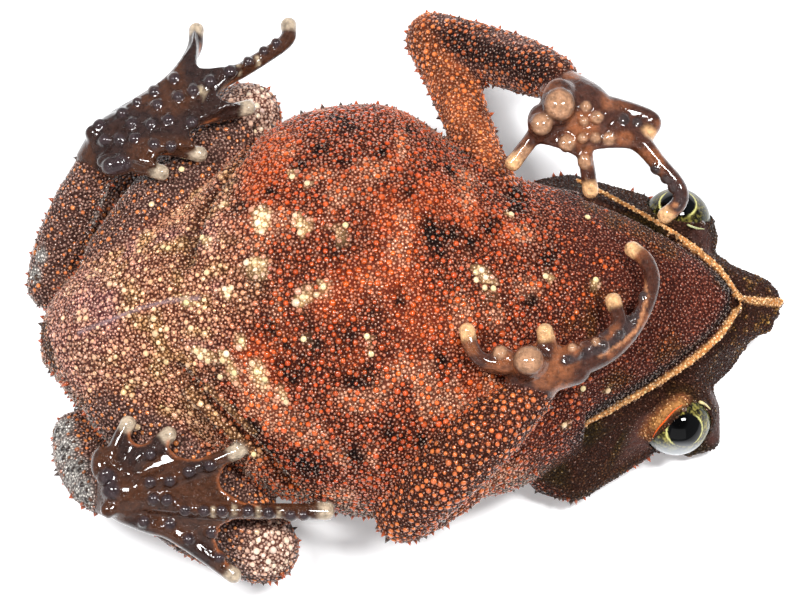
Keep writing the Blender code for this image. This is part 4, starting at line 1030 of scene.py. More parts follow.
# The neck's border wanders, so that no straight line parts throat and belly
forward = soft_step(points[:, 0] + 5.0 * (coarse - 0.5) + 2.0 * (middle - 0.5), 9.0, 14.5)
flesh = np.clip(share_of["lower_jaw"] + share_of["head"] + share_of["trunk"], 0, 1)
under_jaw = soft_step(points[:, 2] + 0.9 * (middle - 0.5), 8.2, 9.0)
throat = flesh * forward * np.maximum(share_of["lower_jaw"], under_jaw)
skull = flesh * forward * (1 - np.maximum(share_of["lower_jaw"], under_jaw))
lay("throat", throat)
lay("throat_brown", throat * soft_step(noise(points, 2.2, 8) + 0.3 * fine, 0.7, 0.95))
towards_chin = soft_step(points[:, 0], 16, 20)
lay("throat_orange", throat * soft_step(noise(points, 0.8, 5), 0.62, 0.74) * (1 - 0.7 * towards_chin))
lay("throat_orange", throat * soft_step(15.5 - points[:, 0], 0.0, 4.0) * 0.6)
lay("belly_dark", throat * soft_step(1 - middle + 0.4 * fine, 0.95, 1.2) * 0.8)
lay("cream", around_spots([spot for spot in CREAM_SPOTS if spot[0] > THROAT_FROM]))
lay("mouth_band", throat * (1 - soft_step(from_lip, 1.2, 2.0 + 0.9 * middle)) * (0.85 + 0.15 * fine))
lay("skull", skull)
lay("skull_olive", skull * soft_step(noise(points, 2.6, 9), 0.55, 0.8))
towards_tip = soft_step(points[:, 0], 25.0, 28.0)
lay("skull_tan", skull * soft_step(noise(points, 0.5, 6), 0.58, 0.75) * (0.15 + 0.85 * towards_tip))
# Lines of pixels along the lids, each with its kind of skin and its half width in millimetres
LID_LINES = [
    ("lid_side", [(641, 446), (637, 440), (640, 430), (646, 421)], 1.1),
    ("lid_side", [(713, 397), (718, 405), (720, 415), (719, 427), (714, 438)], 0.9),
    ("lid", [(646, 434), (651, 426), (658, 418), (667, 409), (676, 403), (684, 399)], 0.8),
    ("lid_gold", [(654, 426), (662, 417), (670, 409), (681, 403)], 0.4),
    ("lid_side", [(697, 236), (703, 232), (707, 240), (707, 250)], 0.8),
]
for name, pixels, width in LID_LINES:
    from_line = path_distance(points, on_skin(tree, pixels))
    lay(name, (1 - soft_step(from_line, 0.3 * width, width + 0.3 * fine)) * flesh)
for centre, _ in EYES.values():
    inside = EYE_RADIUS + SOCKET_GAP + 0.07 - np.linalg.norm(points - centre, axis=1)
    lay("lid_shadow", soft_step(inside, 0.0, 0.05))
ridge = 1 - soft_step(from_lip, LIP_RADIUS - 0.04, LIP_RADIUS + 0.12)
keel = 1 - soft_step(path_distance(points, keel_line), LIP_RADIUS - 0.04, LIP_RADIUS + 0.1)
lay("lip", np.maximum(ridge, keel) * flesh * soft_step(normals[:, 2], -0.2, 0.2))
print("lip:", int(ridge.sum()), "points")

# %% [markdown]
# ## Limbs, palms and soles
#
# Arms and legs are brown with tan warts, greyer on their outer sides, and the knees are pale pink. The
# right forearm has purple blotches and a dark band. The palms and soles are bare, wet and dark, with
# pale round tips, tan pads on the palms and an orange rim on the webs. The back, which the camera
# doesn't see, has the brown of dead leaves with a pale line down its middle, as the species has.

# %% Limbs, palms and soles
# The middle and the radius of each knee, in millimetres
KNEES = [(-12.0, 17.6, 7.4, 3.4), (-10.6, -19.6, 7.0, 3.4)]
# The path of a dark band down the right forearm, in pixels
ARM_BAND = [(452, 42), (490, 54), (530, 68), (556, 82)]
hind = share_of["thigh"] + share_of["shank"] + share_of["tarsus"]
fore = share_of["upper_arm"] + share_of["forearm"]
lay("arm", fore)
right = soft_step(points[:, 1], -2.0, 2.0)
lay("inner_arm", share_of["upper_arm"] * (0.4 + 0.6 * soft_step(middle, 0.3, 0.6)) * (0.3 + 0.7 * right))
lay("belly", share_of["forearm"] * soft_step(middle, 0.5, 0.7) * 0.4)
lay("arm_purple", share_of["forearm"] * right * soft_step(middle + 0.5 * fine, 0.55, 0.8) * 0.8)
from_band = path_distance(points, on_skin(tree, ARM_BAND))
lay("arm_dark", share_of["forearm"] * right * (1 - soft_step(from_band, 0.5, 1.5 + fine)))
lay("leg", hind)
lay("leg_side", np.clip(hind, 0, 1) * side_on * (1 - soft_step(points[:, 0], -22.0, -17.0)) * 0.85)
lay("slate", np.clip(hind, 0, 1) * around_spots(SLATE_SPOTS))
facing_up = soft_step(normals[:, 2], 0.2, 0.7)
for x, y, z, radius in KNEES:
    distance = np.linalg.norm(points - (x, y, z), axis=1)
    lay("knee", hind * (1 - soft_step(distance, radius * 0.55, radius * 1.05)) * facing_up)
lay("back", underneath * (1 - share_of["hand"] - share_of["foot"]))
lay("back_dark", underneath * soft_step(noise(points, 3.0, 7), 0.55, 0.75))
lay("back_stripe", underneath * belly * (1 - soft_step(np.abs(points[:, 1] + 0.6), 0.35, 0.7)))
hand, foot = np.clip(share_of["hand"] * 1.5, 0, 1), np.clip(share_of["foot"] * 1.5, 0, 1)
lay("palm", hand)
lay("finger", hand * soft_step(noise(points, 1.4, 14), 0.45, 0.75))
# Fingers whose skin is dark on one side and drawn along the other with a pale line, as pixels
FINGER_LINES = [
    ("finger_dark", [(612, 345), (626, 332), (634, 316), (637, 300), (634, 290)], 0.75),
    ("finger_dark", [(604, 332), (603, 322)], 0.6),
    ("finger_dark", [(668, 180), (677, 190), (681, 200), (678, 207)], 0.6),
    ("finger_dark", [(566, 360), (590, 352), (604, 346)], 0.6),
    ("finger_bar", [(600, 356), (622, 343), (637, 330), (643, 312), (647, 297), (645, 282), (638, 271)],
     0.2),
    ("finger_bar", [(664, 196), (675, 205), (684, 210)], 0.3),
    ("palm_pad", [(538, 146), (526, 153), (518, 159)], 0.8),
]
for name, pixels, width in FINGER_LINES:
    lay(name, hand * (1 - soft_step(path_distance(points, on_skin(tree, pixels)), 0.5 * width, width)))
lay("sole", foot)
lay("sole_dark", foot * soft_step(noise(points, 2.4, 15), 0.45, 0.7))
for pads, kind_of_pad, where in ((PALM_PADS, "palm_pad", hand), (FINGER_PADS, "finger_pad", hand),
                                 (SOLE_PADS, "sole_pad", foot)):
    lay(kind_of_pad, around_spots([pad[:3] for pad in pads], 0.95) * where)
for limbs, tip in ((ARMS, "finger_tip"), (LEGS, "toe_tip")):
    bare_share = share_of["hand"] if limbs is ARMS else share_of["foot"]
    for limb in limbs.values():
        for digit in limb["digits"]:
            distance = np.linalg.norm(points - digit[-1], axis=1)
            lay(tip, (1 - soft_step(distance, TIP_RADIUS, TIP_RADIUS + 0.45)) * np.clip(bare_share * 2, 0, 1))
for edge in web_edges:
    lay("web_edge", bump_over(points, edge, 0.34) * 0.75)
# The pale skin between the joints of the long toes, as short lines of pixels
TOE_BARS = [
    [(213, 508), (213, 517)], [(234, 507), (234, 516)], [(258, 508), (258, 517)], [(279, 509), (279, 517)],
    [(238, 65), (240, 75)], [(257, 57), (259, 65)], [(200, 87), (203, 94)],
]
for pixels in TOE_BARS:
    lay("toe_bar", bump_over(points, on_skin(tree, pixels), 0.26) * foot)
print("painted", count, "points")

# %% [markdown]
# ## The skin's material
#
# Toad skin is wet, with a thin film of slime over grainy flesh. The markings come from attributes on
# the mesh: one holds the dark ground and its roughness, the other the colour of the grains and how
# grainy the place is. A Voronoi pattern with cells of 0.24 mm sets the grains on the ground, each with
# a shade of its own and a bump, and a noise of 0.45 mm blotches and wrinkles breaks up the bare palms.
#
# The slime is the shader's coat. Bare hands and feet have one, and so have the wet warts and grains.
# The grainy skin between them has none, because a coat there would mirror the lamps in white blotches,
# and the dry grains have none. So the skin has two materials, and what stands on it has two more.

# %% The skin's material
# Sizes in metres, because a shader's Object coordinates are
GRAIN_CELLS = 1 / 0.00024
FLECKS = 1 / 0.00045
GRAIN_BUMP = 0.00012
WRINKLES = 2.4
# How much the flesh itself mirrors: little, because more lays a grey veil over the dark parts
SHADED_GLOSS = 0.12


def toad_skin(name, coat):
    """Toad skin, dark with a lighter grain in each cell, with or without a smooth film of slime."""
    material, tree, shader = new_material(name)
    marks = add_node(tree, "ShaderNodeAttribute", {"attribute_name": "markings"})
    grain = add_node(tree, "ShaderNodeAttribute", {"attribute_name": "grain"})
    place = add_node(tree, "ShaderNodeTexCoord")
    flecks = add_node(tree, "ShaderNodeTexNoise", inputs={
        "Vector": place.outputs["Object"], "Scale": FLECKS, "Detail": 3.0, "Roughness": 0.6})
    depth = add_node(tree, "ShaderNodeMapRange", inputs={
        "Value": flecks.outputs["Fac"], "From Min": 0.3, "From Max": 0.7, "To Min": 0.6, "To Max": 1.45})
    ground = add_node(tree, "ShaderNodeVectorMath", {"operation": "SCALE"}, {
        0: marks.outputs["Color"], "Scale": depth.outputs["Result"]})
    cells = add_node(tree, "ShaderNodeTexVoronoi", {"feature": "F1"}, {
        "Vector": place.outputs["Object"], "Scale": GRAIN_CELLS, "Randomness": 0.9})
    shades = add_node(tree, "ShaderNodeSeparateColor", inputs={"Color": cells.outputs["Color"]})
    shade = add_node(tree, "ShaderNodeMapRange", inputs={
        "Value": shades.outputs["Red"], "To Min": 0.45, "To Max": 1.25})
    bead = add_node(tree, "ShaderNodeVectorMath", {"operation": "SCALE"}, {
        0: grain.outputs["Color"], "Scale": shade.outputs["Result"]})
    top = add_node(tree, "ShaderNodeMapRange", {"interpolation_type": "SMOOTHSTEP"}, {
        "Value": cells.outputs["Distance"], "From Min": 0.62, "From Max": 0.22})
    grainy = add_node(tree, "ShaderNodeMath", {"operation": "MULTIPLY"}, {
        0: top.outputs["Result"], 1: grain.outputs["Alpha"]})
    colour = add_node(tree, "ShaderNodeMix", {"data_type": "RGBA"}, {
        "Factor": grainy.outputs["Value"], "A": ground.outputs["Vector"], "B": bead.outputs["Vector"]})
    gloss = add_node(tree, "ShaderNodeMix", inputs={
        "Factor": grainy.outputs["Value"], "A": marks.outputs["Alpha"], "B": 0.24})
    relief = add_node(tree, "ShaderNodeMath", {"operation": "MULTIPLY_ADD"}, {
        0: flecks.outputs["Fac"], 1: WRINKLES, 2: grainy.outputs["Value"]})
    bump = add_node(tree, "ShaderNodeBump", inputs={
        "Height": relief.outputs["Value"], "Strength": 1.0, "Distance": GRAIN_BUMP})
    tree.links.new(colour.outputs["Result"], shader.inputs["Base Color"])
    tree.links.new(gloss.outputs["Result"], shader.inputs["Roughness"])
    tree.links.new(bump.outputs["Normal"], shader.inputs["Normal"])
    shader.inputs["IOR"].default_value = 1.38
    shader.inputs["Specular IOR Level"].default_value = SHADED_GLOSS
    shader.inputs["Coat Weight"].default_value = coat
    shader.inputs["Coat Roughness"].default_value = 0.05
    shader.inputs["Coat IOR"].default_value = 1.45
    return material


def bumpy_skin(name, coat):
    """Warts and grains, under a coat of slime that gives each a sharp glint, or dry."""
    material, tree, shader = new_material(name)
    marks = add_node(tree, "ShaderNodeAttribute", {"attribute_name": "markings"})
    place = add_node(tree, "ShaderNodeTexCoord")
    cloud = add_node(tree, "ShaderNodeTexNoise", inputs={
        "Vector": place.outputs["Object"], "Scale": 2 * FLECKS})
    depth = add_node(tree, "ShaderNodeMapRange", inputs={
        "Value": cloud.outputs["Fac"], "From Min": 0.3, "From Max": 0.7, "To Min": 0.8, "To Max": 1.2})
    colour = add_node(tree, "ShaderNodeVectorMath", {"operation": "SCALE"}, {
        0: marks.outputs["Color"], "Scale": depth.outputs["Result"]})
    tree.links.new(colour.outputs["Vector"], shader.inputs["Base Color"])
    tree.links.new(marks.outputs["Alpha"], shader.inputs["Roughness"])
    shader.inputs["IOR"].default_value = 1.42
    shader.inputs["Specular IOR Level"].default_value = SHADED_GLOSS
    shader.inputs["Coat Weight"].default_value = coat
    shader.inputs["Coat Roughness"].default_value = 0.04
    shader.inputs["Coat IOR"].default_value = 1.48
    return material


def set_layer(mesh, name, values):
    """Stores numbers or colours on the points of a mesh."""
    kind = "FLOAT" if values.ndim == 1 else "FLOAT_COLOR"
    layer = mesh.attributes.new(name, kind, "POINT")
    layer.data.foreach_set("value" if values.ndim == 1 else "color", values.astype(np.float32).ravel())


def with_alpha(colours, alpha):
    """Puts a fourth column beside three of colour."""
    return np.column_stack([colours, alpha])


graininess = soft_step(paint["grain_radius"], 0.03, 0.11)
set_layer(skin.data, "markings", with_alpha(paint["ground"], paint["roughness"]))
skin.data.materials.clear()
skin.data.materials.append(toad_skin("grainy_toad_skin", 0.0))
skin.data.materials.append(toad_skin("bare_toad_skin", 1.0))
corners = np.empty(len(skin.data.polygons) * 3, np.int32)
skin.data.polygons.foreach_get("vertices", corners)
bare = np.maximum(hand, foot)[corners.reshape(-1, 3)].mean(axis=1) > 0.5
skin.data.polygons.foreach_set("material_index", bare.astype(np.int32))
print("bare faces:", int(bare.sum()), "of", len(bare))

# %% [markdown]
# ## An unwrap of the skin
#
# The skin gets a map named OFBake. It is cut by node and by the axis that a face looks along, each
# cut is laid flat without stretching, and the cuts are packed on shelves like books. Every wart takes
# its place on the map from the skin under it.

# %% An unwrap of the skin
MAP_MARGIN = 0.4
SPARE_WIDTH = 1.06


def unwrap_skin(mesh):
    """Lays the skin flat in one cut for each node and axis and stores it as the bake's map."""
    faces = np.empty(len(mesh.polygons) * 3, np.int32)
    mesh.loops.foreach_get("vertex_index", faces)
    faces = faces.reshape(-1, 3)
    first, second, third = (points[faces[:, corner]] for corner in range(3))
    face_normals = np.cross(second - first, third - first)
    axis = np.abs(face_normals).argmax(axis=1)
    facing = axis * 2 + (face_normals[np.arange(len(faces)), axis] < 0)
    cut = node_number[faces[:, 0]] * 6 + facing
    flat = np.zeros((len(faces), 3, 2))
    for number in range(3):
        looking = axis == number
        flat[looking] = np.delete(points[faces[looking]], number, axis=2)
    sizes = []
    for name in np.unique(cut):
        corners = flat[cut == name].reshape(-1, 2)
        low = corners.min(axis=0)
        sizes.append((*(corners.max(axis=0) - low + MAP_MARGIN), name, low))
    sizes.sort(key=lambda row: -row[1])
    width = math.sqrt(sum(row[0] * row[1] for row in sizes)) * SPARE_WIDTH
    across = up = shelf = 0.0
    for wide, high, name, low in sizes:
        if across + wide > width:
            across, up, shelf = 0.0, up + shelf, 0.0
        flat[cut == name] += np.array((across, up)) - low + MAP_MARGIN / 2
        across, shelf = across + wide, max(shelf, high)
    flat /= max(width, up + shelf)
    layer = mesh.uv_layers.new(name="OFBake")
    layer.data.foreach_set("uv", flat.astype(np.float32).ravel())
    return len(sizes), max(width, up + shelf)


cuts, map_width = unwrap_skin(skin.data)
print("the map holds", cuts, "cuts and is", round(map_width), "mm wide")

# %% [markdown]
# ## Strewing the warts
#
# Geometry Nodes can strew points over a mesh no nearer to each other than a given spacing, and every
# point takes the markings of the skin under it. The points come back as plain numbers, because the
# warts differ in size and colour with their place and are then made as joined meshes.

# %% Strewing the warts
CROWDING = 8.0
WART_SPACING, GRAIN_SPACING, SPINE_SPACING = 0.56, 0.27, 0.62
COLOUR_LAYERS = ("ground", "grain", "wart")
NUMBER_LAYERS = ("wart_radius", "grain_radius", "roughness")
# Each layer that a strewn point brings along, with how many numbers it has and what Blender calls them
STREWN_LAYERS = (("position", 3, "vector"), ("root_normal", 3, "vector"), ("OFBake", 2, "vector"),
                 *((layer, 4, "color") for layer in COLOUR_LAYERS),
                 *((layer, 1, "value") for layer in (*NUMBER_LAYERS, "spiny")))


def strew(spacing, seed):
    """Strews points on the skin and returns their place, normal, place on the map and markings."""
    group = bpy.data.node_groups.new("strew", "GeometryNodeTree")
    group.interface.new_socket("Geometry", in_out="INPUT", socket_type="NodeSocketGeometry")
    group.interface.new_socket("Geometry", in_out="OUTPUT", socket_type="NodeSocketGeometry")
    start = add_node(group, "NodeGroupInput")
    drop = add_node(group, "GeometryNodeDistributePointsOnFaces", {"distribute_method": "POISSON"}, {
        "Mesh": start.outputs["Geometry"], "Distance Min": spacing * MM,
        "Density Max": CROWDING / (spacing * MM) ** 2, "Seed": seed})
    keep = add_node(group, "GeometryNodeStoreNamedAttribute", {"data_type": "FLOAT_VECTOR"}, {
        "Geometry": drop.outputs["Points"], "Name": "root_normal", "Value": drop.outputs["Normal"]})
    loose = add_node(group, "GeometryNodePointsToVertices", inputs={"Points": keep.outputs["Geometry"]})
    add_node(group, "NodeGroupOutput", inputs={"Geometry": loose.outputs["Mesh"]})
    ground = bpy.data.objects.new("ground", skin.data)
    bpy.context.scene.collection.objects.link(ground)
    step = ground.modifiers.new("Strew", "NODES")
    step.node_group = group
    mesh = ground.evaluated_get(bpy.context.evaluated_depsgraph_get()).data
    found = {}
    for name, fields, word in STREWN_LAYERS:
        values = np.empty(len(mesh.vertices) * fields, np.float32)
        mesh.attributes[name].data.foreach_get(word, values)
        found[name] = values.reshape(-1, fields) if fields > 1 else values
    bpy.data.objects.remove(ground)
    bpy.data.node_groups.remove(group)
    found["position"] = found["position"] / MM - np.array(SHIFT)
    return found


for layer in COLOUR_LAYERS:
    set_layer(skin.data, layer, with_alpha(paint[layer], graininess))
for layer in NUMBER_LAYERS:
    set_layer(skin.data, layer, paint[layer])
crest_edge = skull * (1 - soft_step(points[:, 2], 2.6, 3.6)) * (points[:, 0] < 21.5)
spiny = np.clip(hind + fore + belly * (1 - forward) + crest_edge, 0, 1) * side_on * (1 - hand) * (1 - foot)
set_layer(skin.data, "spiny", np.clip(spiny, 0, 1))
warts = strew(WART_SPACING, seed=11)
grains = strew(GRAIN_SPACING, seed=12)
spines = strew(SPINE_SPACING, seed=13)
for name, sites in (("warts", warts), ("grains", grains), ("spines", spines)):
    print("strewn:", len(sites["position"]), name)

# %% [markdown]
# ## Shapes of one wart, grain and spine
#
# One wart is a low dome of a few dozen faces, a grain is smaller and plainer, and a spine is a little
# cone with a narrow waist and a sharp tip. Each is made once from a bmesh sphere or cone. A dome is
# flatter on top than a ball and steeper at its sides.

# %% Shapes of one wart, grain and spine
ROOT_DEPTH = 0.3
TOP_POWER = 0.55


def shape_numbers(bm):
    """The points and triangles of a bmesh as arrays, and then frees it."""
    bmesh.ops.triangulate(bm, faces=bm.faces)
    bmesh.ops.recalc_face_normals(bm, faces=bm.faces)
    bm.verts.index_update()
    corners = np.array([vert.co for vert in bm.verts])
    faces = np.array([[vert.index for vert in face.verts] for face in bm.faces])
    bm.free()
    return corners, faces


def dome_shape(sides, rings):
    """A ball of radius 1 with a flattened top, cut a little under its middle and closed there."""
    bm = bmesh.new()
    bmesh.ops.create_uvsphere(bm, u_segments=sides, v_segments=rings, radius=1.0)
    geometry = list(bm.verts) + list(bm.edges) + list(bm.faces)
    cut = bmesh.ops.bisect_plane(bm, geom=geometry, plane_co=Vector((0, 0, -ROOT_DEPTH)),
                                 plane_no=Vector((0, 0, -1)), clear_outer=True)
    rim = [item for item in cut["geom_cut"] if isinstance(item, bmesh.types.BMEdge)]
    bmesh.ops.contextual_create(bm, geom=rim)
    for vert in bm.verts:
        vert.co.z = math.copysign(abs(vert.co.z) ** TOP_POWER, vert.co.z)
    return shape_numbers(bm)


def spine_shape():
    """A cone of radius 1 and height 1 with a narrower waist, closed at its root."""
    bm = bmesh.new()
    made = bmesh.ops.create_cone(bm, cap_ends=True, segments=6, radius1=1.0, radius2=0.5, depth=0.75,
                                 matrix=Matrix.Translation((0, 0, 0.075)))
    faces = {face for vert in made["verts"] for face in vert.link_faces}
    top = max(faces, key=lambda face: face.calc_center_median().z)
    bmesh.ops.poke(bm, faces=[top], offset=0.55)
    return shape_numbers(bm)


WART_SHAPE = dome_shape(8, 5)
GRAIN_SHAPE = dome_shape(5, 3)
SPINE_SHAPE = spine_shape()
print("triangles: wart", len(WART_SHAPE[1]), "grain", len(GRAIN_SHAPE[1]), "spine", len(SPINE_SHAPE[1]))

# %% [markdown]
# ## Planting them
#
# Thousands of copies of the three shapes are turned onto the skin, sized, coloured from root to tip
# and joined, a piece at a time. They are built as arrays, because an object for each would be slow. A
# copy is nearly as dark as the ground at its root and has its own colour on top, and the wet warts
# and grains end in a paler peak, which is a painted highlight. On the map a copy is a small patch at
# its root's place.

# %% Planting them
MOST_TRIANGLES = 190000
LOWEST_COAT = 0.01
PATCH = 0.0015
# The colour and roughness of the painted highlight on top of wet warts and grains
PAINTED_HIGHLIGHT = np.array([*linear("#ffe2c8"), 0.2])
wet_material = bumpy_skin("wet_toad_warts", 1.0)
dry_material = bumpy_skin("dry_toad_grains", 0.0)


def plant(name, shape, sites, radii, heights, root_colours, tip_colours, material=wet_material, pale=0.0):
    """Joins copies of one shape, standing on their sites, in pieces of the right size."""
    corners, faces = shape
    normals = sites["root_normal"] / np.linalg.norm(sites["root_normal"], axis=1)[:, None]
    guide = np.where(np.abs(normals[:, :1]) < 0.8, (1.0, 0.0, 0.0), (0.0, 1.0, 0.0))
    across = np.cross(normals, guide)
    across /= np.linalg.norm(across, axis=1)[:, None]
    along = np.cross(normals, across)
    rise = soft_step(corners[:, 2], 0.1, 0.85)[None, :, None]
    # Painted highlight: the very top of a wet wart or grain is painted pale
    highlight_mask = pale * soft_step(corners[:, 2], 0.93, 1.0)[None, :, None]
    per_piece = MOST_TRIANGLES // len(faces)
    order = np.argsort(sites["position"][:, 0], kind="stable")
    for number, start in enumerate(range(0, len(order), per_piece)):
        rows = order[start:start + per_piece]
        wide, tall = radii[rows, None, None], heights[rows, None, None]
        placed = (sites["position"][rows, None] + across[rows, None] * corners[None, :, :1] * wide
                  + along[rows, None] * corners[None, :, 1:2] * wide
                  + normals[rows, None] * corners[None, :, 2:] * tall)
        placed[:, :, 2] = np.maximum(placed[:, :, 2], LOWEST_COAT)
        colours = root_colours[rows, None] * (1 - rise) + tip_colours[rows, None] * rise
        colours = colours * (1 - highlight_mask) + PAINTED_HIGHLIGHT * highlight_mask
        mesh = bpy.data.meshes.new(f"{name}_{number + 1}")
        mesh.vertices.add(len(rows) * len(corners))
        mesh.vertices.foreach_set("co", ((placed + np.array(SHIFT)) * MM).astype(np.float32).ravel())
        index = (faces[None] + np.arange(len(rows))[:, None, None] * len(corners)).reshape(-1, 3)
        mesh.loops.add(index.size)
        mesh.loops.foreach_set("vertex_index", index.astype(np.int32).ravel())
        mesh.polygons.add(len(index))
        mesh.polygons.foreach_set("loop_start", np.arange(0, index.size, 3, dtype=np.int32))
        mesh.update(calc_edges=True)
        mesh.shade_smooth()
        set_layer(mesh, "markings", colours.reshape(-1, 4))
        patch = sites["OFBake"][rows, None] + corners[None, :, :2] * PATCH
        layer = mesh.uv_layers.new(name="OFBake")
        layer.data.foreach_set("uv", patch.reshape(-1, 2)[index.ravel()].astype(np.float32).ravel())
        mesh.materials.append(material)
        piece = bpy.data.objects.new(mesh.name, mesh)
        bpy.context.scene.collection.objects.link(piece)
        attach(piece, "root")
    print(name, len(order), "in pieces of up to", per_piece * len(faces), "triangles")


def chosen(sites, mask):
    """The sites that a mask keeps."""
    return {name: values[mask] for name, values in sites.items()}


# %% [markdown]
# ## Round warts
#
# On the belly the warts are even and set close. Behind it, towards the pelvis, they are of all sizes.
# Where the toad has a cream spot, the wart nearest to it is a large one. Each has a shade of its own.

# %% Round warts
WET_ROUGHNESS = 0.2
# Where along the body the even warts of the belly give way to uneven ones
UNEVEN_BORDER = (-16.0, -11.0)
UNEVENNESS = 0.8
LARGE_WART, LARGE_WART_COLOUR = 0.28, "#e6cb9a"
SMALLEST_WART, WART_HEIGHT = 0.07, 0.6
draw = np.random.default_rng(20)
size = warts["wart_radius"] * draw.normal(1.0, 0.17, len(warts["position"])).clip(0.6, 1.4)
behind = 1 - soft_step(warts["position"][:, 0], *UNEVEN_BORDER)
size *= 1 - behind * UNEVENNESS * draw.random(len(size)) ** 2
keep = (size > SMALLEST_WART) & (warts["position"][:, 2] > 0.35)
keep &= (draw.random(len(size)) < 0.92) | (warts["wart_radius"] > 0.27)
warts, size = chosen(warts, keep), size[keep]
for across, down, _ in CREAM_SPOTS:
    for place in on_skin(tree, [(across, down)]):
        nearest = np.linalg.norm(warts["position"] - place, axis=1).argmin()
        size[nearest] = LARGE_WART
        warts["wart"][nearest, :3] = linear(LARGE_WART_COLOUR)
shade = draw.normal(1.0, 0.14, (len(size), 1)).clip(0.6, 1.5)
greenness = draw.normal(1, 0.06, shade.shape)
tips = warts["wart"] * np.column_stack([shade, shade * greenness, shade, np.ones_like(shade)])
roots = warts["ground"] * 0.6 + warts["wart"] * 0.3
tips[:, 3] = roots[:, 3] = WET_ROUGHNESS
# The warts carry a painted highlight on their tops
plant("round_warts", WART_SHAPE, warts, size, size * WART_HEIGHT, roots, tips, pale=0.1)

# %% [markdown]
# ## Fine and dry grains
#
# Grains fill the ground between the warts. On the skull and the back they are dry and dull, and
# everywhere else they glint.

# %% Fine and dry grains
DRY_ROUGHNESS = 0.58
SMALLEST_GRAIN, GRAIN_HEIGHT = 0.05, 0.7
size = grains["grain_radius"] * draw.normal(1.0, 0.2, len(grains["position"])).clip(0.6, 1.5)
keep = (size > SMALLEST_GRAIN) & (grains["position"][:, 2] > 0.25)
grains, size = chosen(grains, keep), size[keep]
shade = draw.normal(1.0, 0.25, (len(size), 1)).clip(0.45, 1.8)
tips = grains["grain"] * np.column_stack([shade, shade, shade, np.ones_like(shade)])
roots = grains["ground"] * 0.8 + grains["grain"] * 0.15
dry = grains["roughness"] > DRY_ROUGHNESS
tips[:, 3] = roots[:, 3] = np.where(dry, 0.6, WET_ROUGHNESS)
# Fine grains carry a painted highlight on their tops, and dry grains carry none
for name, mask, material, pale in (("fine_grains", ~dry, wet_material, 0.2),
                                   ("dry_grains", dry, dry_material, 0.0)):
    plant(name, GRAIN_SHAPE, chosen(grains, mask), size[mask], size[mask] * GRAIN_HEIGHT, roots[mask],
          tips[mask], material, pale)

# %% [markdown]
# ## Spines
#
# The sides of the body and limbs and the edges of the crests are thorny, which gives the outline its
# teeth. About two thirds of the spines are orange and the others are brown.

# %% Spines
SPINY_FROM, SPINES_KEPT, ORANGE_SHARE = 0.35, 0.7, 0.65
keep = (spines["spiny"] > SPINY_FROM) & (spines["position"][:, 2] > 0.5)
keep &= draw.random(len(spines["spiny"])) < SPINES_KEPT
spines = chosen(spines, keep)
size = draw.normal(0.23, 0.05, len(spines["position"])).clip(0.13, 0.35)
orange = draw.random((len(size), 1)) < ORANGE_SHARE
tips = np.where(orange, [*linear("#d8622c"), 0.3], [*linear("#5a463a"), 0.3])
tips = tips * draw.normal(1, 0.2, (len(size), 1)).clip(0.5, 1.4)
roots = spines["ground"] * 0.8
roots[:, 3] = 0.4
plant("flank_spines", SPINE_SHAPE, spines, size, size * draw.uniform(0.9, 1.9, len(size)), roots, tips)

# %% [markdown]
# ## Eyes
#
# A toad's eye is a ball with a clear, swelling cornea. Its iris is gold-green with dark flecks, round
# a black, level pupil with a bright thin rim. All of that is painted by the distance from the eye's
# own axis, on a finer ball of the part's size, under a coat that shines like tears.
#
# One thing is painted that ought not to be. In the photograph the lower side of each eye mirrors the
# white sheet, and `sheen` paints that on, by the way the camera is turned. So it is right from the
# photograph's camera only. A coat mirrors the sheet by itself, and moves with every view.

# %% Eyes
PUPIL_WIDTH, PUPIL_HEIGHT = 1.5, 1.42
# Where the pupils look, which is not quite where the sockets open
GAZES = {"left": (0.22, -0.46, 0.86), "right": (0.0, 0.40, 0.92)}
# How light each iris is painted: both are dimmed and the right one much more, as painted shade
IRIS_PAINTED_SHADE = {"left": 0.85, "right": 0.5}
CORNEA_FROM, CORNEA_SWELL = 0.75, 0.8
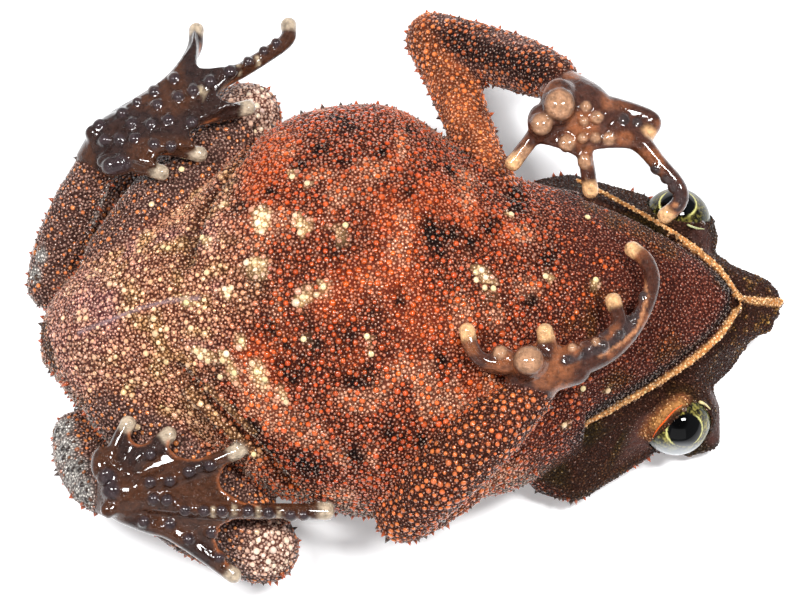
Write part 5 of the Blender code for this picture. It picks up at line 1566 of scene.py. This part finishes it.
# The way that the top of the picture lies, for the painted reflection
camera_up = camera_turn @ Vector((0.0, 1.0, 0.0))
for side, (centre, way) in EYES.items():
    centre, way, gaze = Vector(centre), Vector(way).normalized(), Vector(GAZES[side]).normalized()
    ball = bmesh.new()
    add_lump(ball, centre, (EYE_RADIUS,) * 3, gaze, detail=6)
    for vert in ball.verts:
        lean = (vert.co - centre).normalized().dot(gaze)
        vert.co += gaze * max(0.0, lean - CORNEA_FROM) * CORNEA_SWELL
    eye = object_from(side + "_wet_eye", ball)
    eye.data.shade_smooth()
    across = Vector((1.0, 0.0, 0.0)) - gaze * gaze.x
    across.normalize()
    up = gaze.cross(across)
    corners = np.array([vert.co / MM - SHIFT - centre for vert in eye.data.vertices])
    wide, tall, deep = corners @ np.array(across), corners @ np.array(up), corners @ np.array(gaze)
    pupil = np.hypot(wide / PUPIL_WIDTH, tall / PUPIL_HEIGHT)
    flecks = noise(corners, 0.16, 30) * 0.5 + noise(corners, 0.08, 31) * 0.5
    dark, light = linear("#120e05"), linear("#a09448")
    gold = dark + soft_step(flecks, 0.42, 0.72)[:, None] * (light - dark)
    edge = soft_step(pupil, 1.3, 1.7)[:, None]
    # Each iris is darkened by its painted shade
    iris = (gold * (1 - 0.35 * edge) + linear("#5c6c5c") * 0.35 * edge) * IRIS_PAINTED_SHADE[side]
    sideways = soft_step(np.abs(wide) / PUPIL_WIDTH, 0.45, 0.8)
    ring = ((1 - soft_step(np.abs(pupil - 1.03), 0.02, 0.055)) * sideways)[:, None]
    colours = iris * (1 - ring) + linear("#e0da88") * ring
    black = (1 - soft_step(pupil, 0.97, 1.0))[:, None]
    colours = colours * (1 - black) + linear("#030303") * black
    white = soft_step(pupil, 1.72, 1.86)[:, None]
    colours = colours * (1 - white) + linear("#9a9e98") * white
    sheen = soft_step(-(corners @ np.array(camera_up)) / EYE_RADIUS, 0.52, 0.98)[:, None] * 0.85
    colours = colours * (1 - sheen) + linear("#c4c8cc") * sheen
    colours[corners @ np.array(way) < 0] = linear("#241a16")
    set_layer(eye.data, "markings", with_alpha(colours, np.full(len(colours), 0.12)))
    material, tree_of_eye, shader = new_material(side + "_cornea_and_iris")
    marks = add_node(tree_of_eye, "ShaderNodeAttribute", {"attribute_name": "markings"})
    tree_of_eye.links.new(marks.outputs["Color"], shader.inputs["Base Color"])
    shader.inputs["Roughness"].default_value = 0.3
    shader.inputs["Specular IOR Level"].default_value = 0.0
    shader.inputs["Coat Weight"].default_value = 1.0
    shader.inputs["Coat Roughness"].default_value = 0.02
    shader.inputs["Coat IOR"].default_value = 1.38
    eye.data.materials.append(material)
    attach(eye, "root")
    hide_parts(side + "_eye")
print("two eyes", round(2 * EYE_RADIUS, 1), "mm wide")

# %% [markdown]
# ## Threads along the lids
#
# A bright thread runs along the rim of each lid, too fine for the skin's own points: orange where the
# left lower lid ends, pale yellow in the corners. Each is a thin tube that follows a path of pixels on
# the skin and narrows towards its ends.

# %% Threads along the lids
# Colour, radius in millimetres and the path's pixels
LID_THREADS = {
    "left_orange_thread": ("#e2560c", 0.075,
                           [(653, 437), (657, 430), (663, 423), (669, 416), (675, 410), (682, 405)]),
    "left_pale_thread": ("#dccb90", 0.14, [(687, 404), (693, 402), (700, 402), (706, 405), (710, 409)]),
    "right_pale_thread": ("#c9cc94", 0.12, [(680, 221), (688, 225), (696, 228), (704, 229)]),
}
for name, (colour, radius, pixels) in LID_THREADS.items():
    places = on_skin(tree, pixels)
    taper = 1 - 0.6 * np.abs(np.linspace(-1, 1, len(places)))
    thread_form = bmesh.new()
    stations = [(*place, radius * share) for place, share in zip(places, taper)]
    add_tube(thread_form, stations, sides=10, steps=6)
    thread = object_from(name, thread_form)
    thread.data.shade_smooth()
    material, _, shader = new_material(name)
    shader.inputs["Base Color"].default_value = (*linear(colour), 1.0)
    shader.inputs["Roughness"].default_value = 0.25
    thread.data.materials.append(material)
    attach(thread, "root")
    eye_middle = EYES[name.split("_")[0]][0]
    gap = [round(float(np.linalg.norm(place - eye_middle)) - EYE_RADIUS, 2) for place in places]
    print(name, "runs this far outside the eye, in millimetres:", gap)

# %% [markdown]
# ## The end
#
# The markings' working layers go.

# %% The end
for layer in ("ground", "wart", *NUMBER_LAYERS, "spiny"):
    skin.data.attributes.remove(skin.data.attributes[layer])
